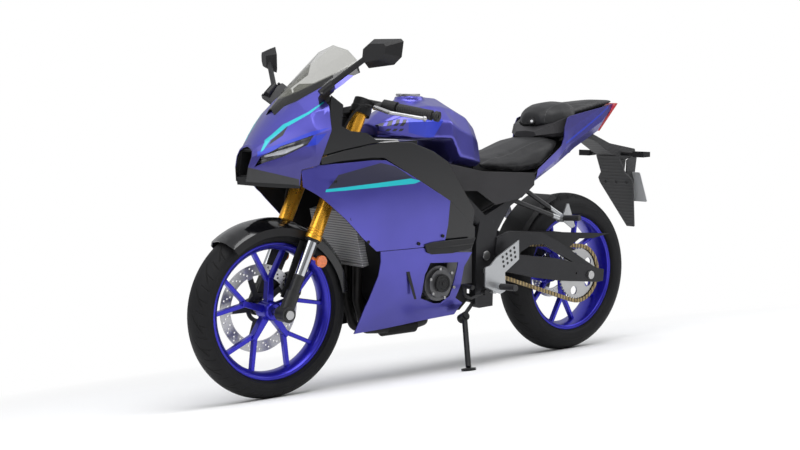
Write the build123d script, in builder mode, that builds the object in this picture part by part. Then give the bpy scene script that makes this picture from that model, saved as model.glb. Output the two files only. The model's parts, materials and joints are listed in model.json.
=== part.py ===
from build123d import *
import math
import os

os.makedirs("parts", exist_ok=True)

# A sport bike parked on its side stand.
# It is drawn upright: +X forward, +Y to the rider's left, +Z up, in millimetres, with zero on the
# floor midway between the axles. The last section leans it onto the stand, and moves zero to the
# bottom centre of the whole machine.

# ---------------------------------------------------------------- driving sizes
wheelbase = 1380
rake = 25  # steering axis, degrees from upright
trail = 95
lean = 10  # parked lean to the left, degrees

front_tyre_radius = 293
front_tyre_width = 110
rear_tyre_radius = 314
rear_tyre_width = 140
rim_flange_radius = 229
front_rim_width = 70
rear_rim_width = 102
tyre_wall = 9
spoke_count = 5

front_disc_radius = 149
rear_disc_radius = 110
disc_thickness = 5
disc_y = -60  # both discs are on the right
disc_hub_radius = 36
axle_radius = 10
axle_gap = 0.3

fork_half_spacing = 100
fork_outer_radius = 25
fork_inner_radius = 18.5
fork_outer_low = 262  # heights along the fork, from the axle
fork_top = 752
lower_clamp_low = 560
lower_clamp_height = 34
top_clamp_low = 712
top_clamp_height = 26
stem_radius = 14
head_tube_radius = 29
head_tube_gap = 4

pivot_x = -151
pivot_z = 428
swingarm_half_width = 150
swingarm_beam = 22

chain_pitch = 15.875
rear_teeth = 43
front_teeth = 14
chain_y = 84
chain_width = 16
chain_height = 15
front_sprocket_x = -70
front_sprocket_z = 440

rear_pitch_radius = chain_pitch / 2 / math.sin(math.pi / rear_teeth)
front_pitch_radius = chain_pitch / 2 / math.sin(math.pi / front_teeth)

panel_wall = 4
part_gap = 1  # between pieces that stand beside each other

front_x = wheelbase / 2
rear_x = -wheelbase / 2
rake_sin = math.sin(math.radians(rake))
rake_cos = math.cos(math.radians(rake))
fork_offset = front_tyre_radius * rake_sin - trail * rake_cos

# the fork's own frame: zero at the front axle, x ahead of the legs, z up along them
fork_plane = Plane(
    origin=(front_x, 0, front_tyre_radius),
    x_dir=(rake_cos, 0, rake_sin),
    z_dir=(-rake_sin, 0, rake_cos),
)
steering_point = fork_plane.from_local_coords(Vector(-fork_offset, 0, 0))
steering_axis = fork_plane.z_dir


def fork_point(x, y, z):
    return fork_plane.from_local_coords(Vector(x, y, z))


# ---------------------------------------------------------------- shapes that repeat
def rod(start, end, radius, bore=0):
    """Round bar or tube from start to end."""
    run = Vector(*end) - Vector(*start)
    with BuildPart() as bar:
        with BuildSketch(Plane(origin=start, z_dir=run)):
            Circle(radius)
            if bore:
                Circle(bore, mode=Mode.SUBTRACT)
        extrude(amount=run.length)
    return bar.part


def bent_rod(points, radius, bend):
    """Round bar along straight runs joined by arcs."""
    with BuildPart() as bar:
        with BuildLine() as path:
            FilletPolyline(*points, radius=bend)
        with BuildSketch(Plane(origin=path.line @ 0, z_dir=path.line % 0)):
            Circle(radius)
        sweep()
    return bar.part


def side_plate(outline, outer, thickness):
    """Plate with an (x, z) outline, from y = outer towards the middle."""
    with BuildPart() as plate:
        with BuildSketch(Plane.XZ.offset(-outer)):
            with BuildLine():
                Polyline(*outline, close=True)
            make_face()
        extrude(amount=thickness)
    return plate.part


def inward(points, wall):
    """A line of (y, z) points, bottom to top, moved inwards by the wall."""
    moved = []
    for i, (y, z) in enumerate(points):
        y0, z0 = points[max(i - 1, 0)]
        y1, z1 = points[min(i + 1, len(points) - 1)]
        run = math.hypot(y1 - y0, z1 - z0)
        moved.append((y - wall * (z1 - z0) / run, z + wall * (y1 - y0) / run))
    return moved


def both_sides(points):
    """Left half of a section, bottom to top, followed by its mirror image."""
    return list(points) + [(-y, z) for y, z in reversed(points) if y > 0]


def shell(stations, wall, arch=False):
    """Thin panel through (x, left half section) stations. An arch goes over to the right side."""
    with BuildPart() as skin:
        for x, half in stations:
            outer = both_sides(half) if arch else list(half)
            with BuildSketch(Plane.YZ.offset(x)):
                with BuildLine():
                    Polyline(*outer, *reversed(inward(outer, wall)), close=True)
                make_face()
        loft(ruled=True)
    return skin.part


def body(stations):
    """Closed solid through (x, left half section) stations."""
    with BuildPart() as solid:
        for x, half in stations:
            with BuildSketch(Plane.YZ.offset(x)):
                with BuildLine():
                    Polyline(*both_sides(half), close=True)
                make_face()
        loft(ruled=True)
    return solid.part


def largest(part):
    """The main solid of a part, without the slivers that trimming leaves."""
    return part.solids().sort_by(SortBy.VOLUME)[-1]


def ring(x, z, profile):
    """Solid of revolution about a wheel's axle, from (y, radius) points."""
    with BuildPart() as turned:
        with BuildSketch(Plane.YZ.offset(x)):
            with BuildLine():
                Polyline(*[(y, z + r) for y, r in profile], close=True)
            make_face()
        revolve(axis=Axis((x, 0, z), (0, 1, 0)))
    return turned.part


# ---------------------------------------------------------------- wheels
def tyre(x, radius, width, rim_width):
    """Hollow tyre: a round crown as a polygon, side walls, and beads that sit in the rim."""
    half = width / 2
    crown = (radius - rim_flange_radius) * 0.66
    middle = radius - crown
    bead = rim_width / 2
    seat = rim_flange_radius - 13
    turns = [math.radians(a) for a in (0, 25, 50, 72, 90)]
    outer = [(half * math.sin(a), middle + crown * math.cos(a)) for a in turns]
    wall = [(half - 5, rim_flange_radius + 8), (bead + 3, rim_flange_radius + 1),
            (bead, rim_flange_radius + 1), (bead, seat)]
    inner_half = half - tyre_wall
    inside = [(bead - tyre_wall, seat), (bead - tyre_wall + 2, rim_flange_radius + 3), (inner_half, middle),
              (inner_half * 0.7, middle + (crown - tyre_wall) * 0.7)]
    left = outer[1:] + wall + inside
    crest = middle + crown - tyre_wall
    profile = [outer[0], *left, (0, crest), *[(-y, r) for y, r in reversed(left)]]
    return ring(x, radius, profile)


def rim(x, z, rim_width, hub_left, hub_right, spoke_half):
    """Cast rim: barrel with flanges, hub with the axle's bore, and forked spokes."""
    edge = rim_width / 2
    flange = 6
    seat = rim_flange_radius - 13
    well = rim_flange_radius - 28
    barrel = [
        (-edge - flange, rim_flange_radius), (-edge, rim_flange_radius), (-edge, seat), (-edge + 14, seat),
        (-edge + 20, well), (edge - 20, well), (edge - 14, seat), (edge, seat), (edge, rim_flange_radius),
        (edge + flange, rim_flange_radius), (edge + flange, seat - 4), (edge - 12, seat - 8),
        (edge - 20, well - 7), (-edge + 20, well - 7), (-edge + 12, seat - 8), (-edge - flange, seat - 4),
    ]
    hub_bore = axle_radius + axle_gap
    hub_wall = 28
    disc_seat = disc_y + disc_thickness / 2
    hub = [(hub_left, hub_bore), (hub_left, hub_bore + hub_wall - 6), (25, hub_bore + hub_wall + 8),
           (-25, hub_bore + hub_wall + 8), (disc_seat + 10, disc_hub_radius + 12), (disc_seat, disc_hub_radius + 12),
           (disc_seat, disc_hub_radius - 1), (hub_right, disc_hub_radius - 1), (hub_right, hub_bore)]
    fork_start = 108
    root = hub_bore + hub_wall
    tip = well - 4
    with BuildPart() as wheel:
        add(ring(x, z, barrel))
        add(ring(x, z, hub))
        for i in range(spoke_count):
            turn = Location((x, 0, z), (0, 1, 0), 18 + 360 * i / spoke_count)
            with BuildSketch(Plane.XZ.offset(-spoke_half)) as spoke:
                with BuildLine():
                    Polyline((root, -22), (fork_start, -15), (tip, -54), (tip, -38), (fork_start + 22, 0),
                             (tip, 38), (tip, 54), (fork_start, 15), (root, 22), close=True)
                make_face()
            add(turn * extrude(spoke.sketch, amount=2 * spoke_half, mode=Mode.PRIVATE))
    return wheel.part


def disc(x, z, radius, band, hub_radius):
    """Brake disc with a drilled band and a five-armed carrier."""
    with BuildPart() as plate:
        with BuildSketch(Plane.XZ.offset(-disc_y - disc_thickness / 2)):
            with Locations((x, z)):
                Circle(radius)
                Circle(radius - band, mode=Mode.SUBTRACT)
                for ring_share, turn in ((0.25, 0), (0.5, 4), (0.75, 8)):
                    with PolarLocations(radius - band * ring_share, 24, start_angle=turn):
                        Circle(3.5, mode=Mode.SUBTRACT)
        extrude(amount=disc_thickness)
        with BuildSketch(Plane.XZ.offset(-disc_y - disc_thickness / 2)):
            with Locations((x, z)):
                Circle(hub_radius + 14)
                with PolarLocations((radius - band + hub_radius) / 2, spoke_count):
                    Rectangle(radius - band - hub_radius + 8, 20)
                Circle(hub_radius, mode=Mode.SUBTRACT)
        extrude(amount=disc_thickness)
    return plate.part


front_hub_half = 64
rear_hub_half = 64
front_tyre = tyre(front_x, front_tyre_radius, front_tyre_width, front_rim_width)
rear_tyre = tyre(rear_x, rear_tyre_radius, rear_tyre_width, rear_rim_width)
front_rim = rim(front_x, front_tyre_radius, front_rim_width, front_hub_half, -front_hub_half, 13)
rear_rim = rim(rear_x, rear_tyre_radius, rear_rim_width, rear_hub_half, -rear_hub_half, 15)
front_disc = disc(front_x, front_tyre_radius, front_disc_radius, 38, disc_hub_radius)
rear_disc = disc(rear_x, rear_tyre_radius, rear_disc_radius, 34, disc_hub_radius)

# ---------------------------------------------------------------- front fork
lug_reach = 124
with BuildPart() as fork_tubes:
    for side in (1, -1):
        y = side * fork_half_spacing
        add(rod(fork_point(0, y, fork_outer_low), fork_point(0, y, fork_top), fork_outer_radius, fork_inner_radius))
        add(rod(fork_point(0, y, fork_outer_low), fork_point(0, y, fork_outer_low + 14),
                fork_outer_radius + 3, fork_inner_radius))

lug_radius = 26
lug_top = 78
lug_inner = fork_half_spacing - 24
with BuildPart() as fork_sliders:
    for side in (1, -1):
        y = side * fork_half_spacing
        add(rod(fork_point(0, y, 0), fork_point(0, y, fork_outer_low + 60), fork_inner_radius))
        add(rod(fork_point(0, y, 0), fork_point(0, y, lug_top), fork_inner_radius + 5))
        add(rod(fork_point(0, side * lug_inner, 0), fork_point(0, side * lug_reach, 0), lug_radius))
        add(rod(fork_point(0, side * lug_inner, 0), fork_point(0, side * lug_reach, 0), axle_radius),
            mode=Mode.SUBTRACT)

with BuildPart() as front_axle:
    add(rod(fork_point(0, -lug_reach - 8, 0), fork_point(0, lug_reach + 8, 0), axle_radius))
    for side in (1, -1):
        add(rod(fork_point(0, side * lug_reach, 0), fork_point(0, side * (lug_reach + 8), 0), axle_radius + 5))
        add(rod(fork_point(0, side * (front_hub_half + part_gap), 0), fork_point(0, side * lug_inner, 0),
                axle_radius + 8))


def clamp(low, height, stem_low, stem_high):
    """Fork clamp across both legs, in the fork's own frame, with its part of the steering stem."""
    grip_radius = fork_outer_radius + 11
    with BuildPart() as yoke:
        with BuildSketch(fork_plane.offset(low)):
            for side in (1, -1):
                with Locations((0, side * fork_half_spacing)):
                    Circle(grip_radius)
            with BuildLine():
                Polyline((-fork_offset - 30, 34), (-8, fork_half_spacing), (24, fork_half_spacing), (4, 0),
                         (24, -fork_half_spacing), (-8, -fork_half_spacing), (-fork_offset - 30, -34), close=True)
            make_face()
            for side in (1, -1):
                with Locations((0, side * fork_half_spacing)):
                    Circle(fork_outer_radius, mode=Mode.SUBTRACT)
        extrude(amount=height)
        add(rod(fork_point(-fork_offset, 0, stem_low), fork_point(-fork_offset, 0, stem_high), stem_radius))
    return yoke.part


stem_joint = top_clamp_low
lower_clamp = clamp(lower_clamp_low, lower_clamp_height, lower_clamp_low, stem_joint)
top_clamp = clamp(top_clamp_low, top_clamp_height, stem_joint, top_clamp_low + top_clamp_height + 12)

with BuildPart() as fork_clamps:
    add(lower_clamp)
    add(top_clamp)

# Handlebars: a short bar clamped on each fork leg above the top clamp, with its grip and controls.
bar_radius = 11
bar_low = top_clamp_low + top_clamp_height
bar_clamp_height = fork_top - bar_low
bar_clamp_mid = bar_low + bar_clamp_height / 2
bar_inner = fork_point(-14, fork_half_spacing + 20, bar_clamp_mid + 16)
bar_end = Vector(248, 338, 932)
bar_run = bar_end - bar_inner
grip_start = 0.42
grip_radius = 17


def along_bar(share, forward=0, up=0):
    return bar_inner + bar_run * share + Vector(forward, 0, up)


def across(point):
    """The same point on the other side of the machine."""
    return Vector(point.X, -point.Y, point.Z)


with BuildPart() as handlebars:
    add(rod(fork_point(0, fork_half_spacing, bar_low), fork_point(0, fork_half_spacing, fork_top + 12),
            fork_outer_radius + 9))
    add(rod(along_bar(-0.1), along_bar(0.97), bar_radius))
    add(rod(fork_point(0, fork_half_spacing, bar_low - 20), fork_point(0, fork_half_spacing, fork_top),
            fork_outer_radius), mode=Mode.SUBTRACT)
    mirror(about=Plane.XZ)

with BuildPart() as grips:
    add(rod(along_bar(grip_start), along_bar(0.93), grip_radius, bar_radius))
    add(rod(along_bar(0.97), along_bar(1.03), grip_radius))
    mirror(about=Plane.XZ)

lever_reach = 58
with BuildPart() as hand_levers:
    add(rod(along_bar(0.27, lever_reach, -2), along_bar(0.55, lever_reach + 14, -8), 7))
    add(rod(along_bar(0.55, lever_reach + 14, -8), along_bar(0.98, lever_reach - 8, -8), 6))
    add(rod(along_bar(0.975, lever_reach - 8, -8), along_bar(1.0, lever_reach - 10, -8), 9))
    mirror(about=Plane.XZ)

reservoir_foot = along_bar(0.3, 14, 10)
reservoir_top = along_bar(0.3, 14, 50)
with BuildPart() as switchgear:
    add(rod(along_bar(0.2), along_bar(0.4), 21, bar_radius))
    add(rod(along_bar(0.2, 10), along_bar(0.27, lever_reach, -2), 10))
    add(rod(along_bar(0.0), along_bar(0.41), bar_radius), mode=Mode.SUBTRACT)
    add(hand_levers.part, mode=Mode.SUBTRACT)
    mirror(about=Plane.XZ)
    add(rod(across(reservoir_foot), across(reservoir_top), 17))
    add(handlebars.part, mode=Mode.SUBTRACT)


# Front mudguard: an arch over the tyre with a brace down the inside of each leg.
guard_inner = front_tyre_radius + 14
guard_half = front_tyre_width / 2 + 19
guard_wall = 4
guard_profile = [
    (guard_half, front_tyre_radius - 40), (guard_half, guard_inner - 28), (guard_half * 0.6, guard_inner - 6),
    (0, guard_inner + 2),
]
with BuildPart() as front_mudguard:
    guard_line = [(y, r) for y, r in guard_profile]
    guard_line += [(-y, r) for y, r in reversed(guard_profile[:-1])]
    with BuildSketch(Plane.YZ.offset(front_x)):
        with BuildLine():
            outer_line = [(y, front_tyre_radius + r) for y, r in guard_line]
            inner_line = [(y, front_tyre_radius + r) for y, r in inward(guard_line, guard_wall)]
            Polyline(*outer_line, *reversed(inner_line), close=True)
        make_face()
    revolve(axis=Axis((front_x, 0, front_tyre_radius), (0, 1, 0)), revolution_arc=118)
front_mudguard_arch = front_mudguard.part.rotate(Axis((front_x, 0, front_tyre_radius), (0, 1, 0)), -80)
mudguard_brace = [(-34, 50), (22, 50), (30, 246), (-44, 254)]
with BuildPart() as front_mudguard:
    add(front_mudguard_arch)
    with BuildSketch(Plane(origin=fork_point(0, guard_half, 0), x_dir=fork_plane.x_dir, z_dir=(0, -1, 0))):
        with BuildLine():
            Polyline(*mudguard_brace, close=True)
        make_face()
    extrude(amount=guard_wall)
    with BuildSketch(Plane(origin=fork_point(0, -guard_half, 0), x_dir=fork_plane.x_dir, z_dir=(0, -1, 0))):
        with BuildLine():
            Polyline(*mudguard_brace, close=True)
        make_face()
    extrude(amount=-guard_wall)
    for side in (1, -1):
        for height in (70, 225):
            add(rod(fork_point(-8, side * (guard_half - 1), height), fork_point(-8, side * (guard_half + 14), height), 7))
    add(fork_sliders.part, mode=Mode.SUBTRACT)
    add(fork_tubes.part, mode=Mode.SUBTRACT)

# Front brake caliper, behind the right leg and astride the disc.
pad_gap = 1.5
with BuildPart() as front_caliper:
    caliper_plane = Plane(origin=fork_point(0, disc_y, 0), x_dir=fork_plane.x_dir, z_dir=(0, -1, 0))
    with BuildSketch(caliper_plane.offset(-17)):
        with BuildLine():
            Polyline((-62, 78), (-96, 70), (-128, 96), (-118, 150), (-84, 166), (-56, 146), close=True)
        make_face()
    extrude(amount=38)
    with BuildSketch(caliper_plane.offset(-disc_thickness / 2 - pad_gap)):
        Circle(front_disc_radius + 3)
    extrude(amount=disc_thickness + 2 * pad_gap, mode=Mode.SUBTRACT)
    with BuildSketch(caliper_plane.offset(15.5)):
        with BuildLine():
            Polyline((-20, 60), (-70, 84), (-60, 140), (-20, 124), close=True)
        make_face()
    extrude(amount=10)
    add(fork_sliders.part, mode=Mode.SUBTRACT)
    add(front_mudguard.part, mode=Mode.SUBTRACT)



def hose(points, radius):
    """Cable along straight runs and wide tangent arcs, through points in the fork's own frame."""
    route = [fork_point(*point) for point in points]
    with BuildPart() as cable:
        with BuildLine() as path:
            last = route[0]
            for before, corner, after in zip(route, route[1:], route[2:]):
                back = before - corner
                ahead = after - corner
                reach = 0.45 * min(back.length, ahead.length)
                start = corner + back.normalized() * reach
                end = corner + ahead.normalized() * reach
                Line(last, start)
                TangentArc(start, end, tangent=-back)
                last = end
            Line(last, route[-1])
        with BuildSketch(Plane(origin=path.line @ 0, z_dir=path.line % 0)):
            Circle(radius)
        sweep()
        for piece in (switchgear, hand_levers, fork_tubes, fork_clamps, front_caliper):
            add(piece.part, mode=Mode.SUBTRACT)
    return largest(cable.part)


hose_radius = 4
brake_hose_route = [(-36, -185, 750), (-20, -178, 712), (2, -156, 664), (24, -138, 600), (26, -134, 500),
                    (16, -130, 400), (-12, -126, 320), (-56, -104, 262), (-86, -88, 214), (-93, -66, 160)]
clutch_cable_route = [(6, 172, 736), (26, 146, 738), (40, 122, 700), (44, 110, 640), (42, 102, 580), (38, 98, 520)]
brake_hose = hose(brake_hose_route, hose_radius)
clutch_cable = hose(clutch_cable_route, hose_radius)

reflector_height = 205
with BuildPart() as fork_reflectors:
    for side in (1, -1):
        hub = fork_point(-52, side * (fork_half_spacing + 8), reflector_height)
        face = fork_point(-52, side * (fork_half_spacing + 20), reflector_height)
        add(rod(hub, face, 20))
        add(rod(fork_point(-36, side * fork_half_spacing, reflector_height),
                fork_point(-fork_inner_radius, side * fork_half_spacing, reflector_height), 5))
        add(rod(fork_point(-52, side * fork_half_spacing, reflector_height), hub, 14))
    add(fork_sliders.part, mode=Mode.SUBTRACT)

# ---------------------------------------------------------------- frame
frame_outer = 140
frame_tube = 21
head_low = fork_point(-fork_offset, 0, lower_clamp_low + lower_clamp_height + head_tube_gap)
head_high = fork_point(-fork_offset, 0, top_clamp_low - head_tube_gap)
pivot_plate = [(-122, 560), (-104, 480), (-104, 400), (-100, 262), (-120, 238), (-186, 240), (-190, 400), (-204, 500)]
side_beam = [(86, 722), (20, 676), (-62, 600), (-121, 553), (-110, 480), (-200, 480), (-204, 511), (-270, 602),
             (-318, 628), (-318, 648), (-147, 574), (-19, 682), (60, 730)]
with BuildPart() as main_frame:
    add(rod(head_low, head_high, head_tube_radius))
    for side in (1, -1):
        add(rod((372, side * 18, 870), (60, side * 118, 690), frame_tube))
        add(rod((60, side * 118, 690), (-140, side * 118, 545), frame_tube))
        add(rod((345, side * 36, 852), (220, side * 112, 640), frame_tube - 7))
        add(rod((220, side * 112, 640), (40, side * 118, 676), frame_tube - 7))
        for outline, thickness in ((pivot_plate, 34), (side_beam, 24)):
            plate = side_plate(outline, frame_outer, thickness)
            add(plate if side > 0 else plate.mirror(Plane.XZ))
    add(rod((-150, -118, 262), (-150, 118, 262), 16))
    add(rod((-140, -118, 545), (-140, 118, 545), 16))
    add(rod(head_low, head_high, stem_radius + axle_gap), mode=Mode.SUBTRACT)
    add(rod((pivot_x, -160, pivot_z), (pivot_x, 160, pivot_z), axle_radius), mode=Mode.SUBTRACT)

seat_rail = [(-130, 96, 560), (-330, 96, 640), (-600, 70, 800), (-790, 40, 880)]
seat_rail_upper = [(-30, 100, 690), (-330, 100, 704), (-420, 92, 716), (-600, 72, 796)]
rail_radius = 12
with BuildPart() as rear_frame:
    for start, end in zip(seat_rail, seat_rail[1:]):
        add(rod(start, end, rail_radius))
    for start, end in zip(seat_rail_upper, seat_rail_upper[1:]):
        add(rod(start, end, rail_radius))
    mirror(about=Plane.XZ)
    add(rod((-600, -70, 800), (-600, 70, 800), rail_radius))
    add(rod((-330, -100, 704), (-330, 100, 704), rail_radius))
    add(main_frame.part, mode=Mode.SUBTRACT)

# ---------------------------------------------------------------- engine
engine_half = 100
chain_bay = [(-140, 350), (-40, 372), (-14, 440), (-30, 500), (-140, 500)]
chain_bay_floor = 68
output_shaft_radius = 14
crankcase = [(-96, 262), (-60, 232), (190, 232), (236, 300), (236, 400), (150, 450), (-30, 500), (-96, 480)]
cylinders = [(80, 440), (236, 380), (318, 560), (300, 620), (180, 650), (120, 600)]
with BuildPart() as engine:
    add(side_plate(crankcase, engine_half, 2 * engine_half))
    add(side_plate(cylinders, engine_half - 12, 2 * (engine_half - 12)))
    add(side_plate(chain_bay, engine_half + 1, engine_half + 1 - chain_bay_floor), mode=Mode.SUBTRACT)
    add(rod((front_sprocket_x, chain_bay_floor - 20, front_sprocket_z), (front_sprocket_x, chain_y + 8, front_sprocket_z),
            output_shaft_radius))
    add(rod((front_sprocket_x, chain_y - 3, front_sprocket_z), (front_sprocket_x, chain_y + 3, front_sprocket_z),
            front_pitch_radius - 7))
    add(main_frame.part, mode=Mode.SUBTRACT)

crank_x = 86
crank_z = 348
cover_radius = 62
sprocket_cover_outline = [(-98, 330), (0, 330), (30, 348), (16, 420), (-10, 500), (-96, 500)]
left_cover_reach = 168
right_cover_reach = 158
with BuildPart() as engine_covers:
    add(rod((crank_x, engine_half, crank_z), (crank_x, left_cover_reach - 14, crank_z), cover_radius))
    add(rod((crank_x, left_cover_reach - 14, crank_z), (crank_x, left_cover_reach, crank_z), cover_radius - 12))
    add(rod((crank_x, -engine_half, crank_z), (crank_x, -right_cover_reach, crank_z), cover_radius))
    add(side_plate(sprocket_cover_outline, 124, 8))
    add(side_plate([(0, 340), (16, 340), (16, 440), (-6, 490), (-20, 490), (0, 440)], 118, 18))
    add(main_frame.part, mode=Mode.SUBTRACT)


radiator_bottom = (396, 425)
radiator_top = (438, 612)
radiator_half = 128
radiator_depth = 26
radiator_run = Vector(radiator_top[0] - radiator_bottom[0], 0, radiator_top[1] - radiator_bottom[1])
radiator_plane = Plane(
    origin=((radiator_bottom[0] + radiator_top[0]) / 2, 0, (radiator_bottom[1] + radiator_top[1]) / 2),
    x_dir=(0, 1, 0),
    z_dir=(-radiator_run.Z, 0, radiator_run.X),
)
with BuildPart() as radiator:
    with BuildSketch(radiator_plane):
        Rectangle(2 * radiator_half, radiator_run.length)
    extrude(amount=radiator_depth)
    with BuildSketch(radiator_plane):
        Rectangle(2 * radiator_half - 44, radiator_run.length - 16)
    extrude(amount=5, mode=Mode.SUBTRACT)

# Exhaust: two pipes down the front of the engine, one collector and a muffler on the right.
pipe_radius = 17
with BuildPart() as exhaust_pipes:
    for y in (36, -36):
        run = [(308, y, 560), (350, y, 520), (352, y, 300), (320, y * 0.9, 195), (200, -20 + y * 0.5, 178)]
        add(bent_rod(run, pipe_radius, 30))
    add(rod((205, -20, 178), (60, -20, 178), 30))
    add(bent_rod([(64, -20, 178), (-20, -60, 178), (-75, -168, 198), (-212, -190, 266)], 20, 36))
    add(engine.part, mode=Mode.SUBTRACT)

muffler_half = 52
muffler_start = (-214, -192, 268)
muffler_end = (-562, -208, 420)
with BuildPart() as muffler:
    muffler_axis = Vector(*muffler_end) - Vector(*muffler_start)
    muffler_plane = Plane(origin=muffler_start, x_dir=(0, 1, 0), z_dir=muffler_axis)
    for share, width, height in ((0, 50, 62), (0.22, 84, 116), (0.86, 88, 126), (1, 66, 92)):
        with BuildSketch(muffler_plane.offset(share * muffler_axis.length)):
            RectangleRounded(width, height, 18)
    loft(ruled=True)
    with BuildSketch(muffler_plane.offset(muffler_axis.length)):
        Circle(24)
    extrude(amount=14)
    with BuildSketch(muffler_plane.offset(muffler_axis.length + 14)):
        Circle(20)
    extrude(amount=-60, mode=Mode.SUBTRACT)
    add(exhaust_pipes.part, mode=Mode.SUBTRACT)

# ---------------------------------------------------------------- swingarm and drive
beam_outline = [(-190, 455), (-319, 419), (-502, 393), (-735, 338), (-772, 330), (-768, 284), (-735, 282),
                (-527, 304), (-388, 328), (-200, 372)]
brace_outline = [(-192, 440), (-200, 490), (-262, 510), (-425, 498), (-514, 458), (-700, 355), (-742, 330),
                 (-742, 316), (-640, 350), (-502, 418), (-443, 450), (-375, 452), (-322, 430), (-300, 405),
                 (-200, 425)]
swingarm_pivot_half = 104
cross_high = 424
cross_low = 384
cross_front = -186
cross_rear = -290
with BuildPart() as swingarm:
    for side in (1, -1):
        beam = side_plate(beam_outline, swingarm_half_width, swingarm_beam)
        brace = side_plate(brace_outline, swingarm_half_width - 3, swingarm_beam - 8)
        if side < 0:
            beam = beam.mirror(Plane.XZ)
            brace = brace.mirror(Plane.XZ)
        add(beam)
        add(brace)
    add(side_plate([(cross_front, cross_low), (cross_front, cross_high), (cross_rear, cross_high - 6),
                    (cross_rear, cross_low - 2)], swingarm_half_width - 4, 2 * (swingarm_half_width - 4)))
    add(rod((pivot_x, -swingarm_pivot_half, pivot_z), (pivot_x, swingarm_pivot_half, pivot_z), 20))
    add(side_plate([(pivot_x, pivot_z - 16), (pivot_x, pivot_z + 16), (cross_rear + 60, cross_high - 4),
                    (cross_rear + 60, cross_low + 4)], swingarm_pivot_half, 2 * swingarm_pivot_half))
    add(rod((pivot_x, -160, pivot_z), (pivot_x, 160, pivot_z), axle_radius), mode=Mode.SUBTRACT)
    add(rod((rear_x, -160, rear_tyre_radius), (rear_x, 160, rear_tyre_radius), axle_radius), mode=Mode.SUBTRACT)
    for side in (1, -1):
        add(rod((rear_x + 74, side * 134, 326), (rear_x + 74, side * 160, 326), 4), mode=Mode.SUBTRACT)
    add(main_frame.part, mode=Mode.SUBTRACT)

with BuildPart() as rear_axles:
    add(rod((pivot_x, -frame_outer - 6, pivot_z), (pivot_x, frame_outer + 6, pivot_z), axle_radius))
    for side in (1, -1):
        add(rod((pivot_x, side * frame_outer, pivot_z), (pivot_x, side * (frame_outer + 6), pivot_z), 17))
    outer = swingarm_half_width + 10
    add(rod((rear_x, -outer, rear_tyre_radius), (rear_x, outer, rear_tyre_radius), axle_radius))
    for side in (1, -1):
        add(rod((rear_x, side * swingarm_half_width, rear_tyre_radius), (rear_x, side * outer, rear_tyre_radius),
                axle_radius + 6))
    add(rod((rear_x, -swingarm_half_width + swingarm_beam, rear_tyre_radius),
            (rear_x, -rear_hub_half - part_gap, rear_tyre_radius), axle_radius + 7))
    add(rod((rear_x, swingarm_half_width - swingarm_beam, rear_tyre_radius),
            (rear_x, chain_y + 22, rear_tyre_radius), axle_radius + 7))

sprocket_thickness = 6
tooth_tip = rear_pitch_radius - chain_height / 2 + 1
with BuildPart() as rear_sprocket:
    with BuildSketch(Plane.XZ.offset(-chain_y - sprocket_thickness / 2)):
        with Locations((rear_x, rear_tyre_radius)):
            Circle(tooth_tip - 5)
            with PolarLocations(tooth_tip - 3, rear_teeth):
                Rectangle(6, 5)
            with PolarLocations(70, spoke_count):
                Circle(17, mode=Mode.SUBTRACT)
            Circle(axle_radius + axle_gap, mode=Mode.SUBTRACT)
    extrude(amount=sprocket_thickness)
    add(rod((rear_x, rear_hub_half, rear_tyre_radius), (rear_x, chain_y - 3, rear_tyre_radius), 44,
            axle_radius + axle_gap))
    add(rod((rear_x, chain_y + 3, rear_tyre_radius), (rear_x, chain_y + 20, rear_tyre_radius), 30,
            axle_radius + axle_gap))

# The chain is one fixed loop of two rows of plates with a slot between them for the sprockets.
chain_run = math.hypot(front_sprocket_x - rear_x, front_sprocket_z - rear_tyre_radius)
chain_slope = math.atan2(front_sprocket_z - rear_tyre_radius, front_sprocket_x - rear_x)
chain_spread = math.asin((rear_pitch_radius - front_pitch_radius) / chain_run)


def chain_outline(grow):
    """Closed loop round both sprockets, moved outwards from the pitch line by grow."""
    up = chain_slope + math.pi / 2 - chain_spread
    down = chain_slope - math.pi / 2 + chain_spread
    rear = (rear_x, rear_tyre_radius, rear_pitch_radius + grow)
    front = (front_sprocket_x, front_sprocket_z, front_pitch_radius + grow)

    def on(wheel, angle):
        x, z, r = wheel
        return (x + r * math.cos(angle), z + r * math.sin(angle))

    back = chain_slope + math.pi
    ahead = chain_slope
    with BuildLine() as loop:
        Line(on(rear, up), on(front, up))
        ThreePointArc(on(front, up), on(front, ahead), on(front, down))
        Line(on(front, down), on(rear, down))
        ThreePointArc(on(rear, down), on(rear, back), on(rear, up))
    return loop.line


with BuildPart() as chain:
    with BuildSketch(Plane.XZ.offset(-chain_y - chain_width / 2)):
        add(chain_outline(chain_height / 2))
        make_face()
        with BuildSketch(mode=Mode.SUBTRACT):
            add(chain_outline(-chain_height / 2))
            make_face()
    extrude(amount=chain_width)
    with BuildSketch(Plane.XZ.offset(-chain_y - sprocket_thickness / 2 - 1)):
        add(chain_outline(-4))
        make_face()
    extrude(amount=sprocket_thickness + 2, mode=Mode.SUBTRACT)

with BuildPart() as chain_guard:
    add(side_plate([(-300, 505), (-475, 494), (-830, 466), (-735, 452), (-660, 456), (-606, 428), (-640, 412),
                    (-600, 410), (-540, 440), (-430, 486), (-300, 492)], 122, 4))
    add(side_plate([(-320, 503), (-475, 494), (-560, 488), (-560, 484), (-475, 490), (-320, 499)], 120, 42))
    add(side_plate([(-300, 500), (-300, 505), (-320, 503), (-320, 482)], 134, 14))
    add(swingarm.part, mode=Mode.SUBTRACT)

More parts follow.
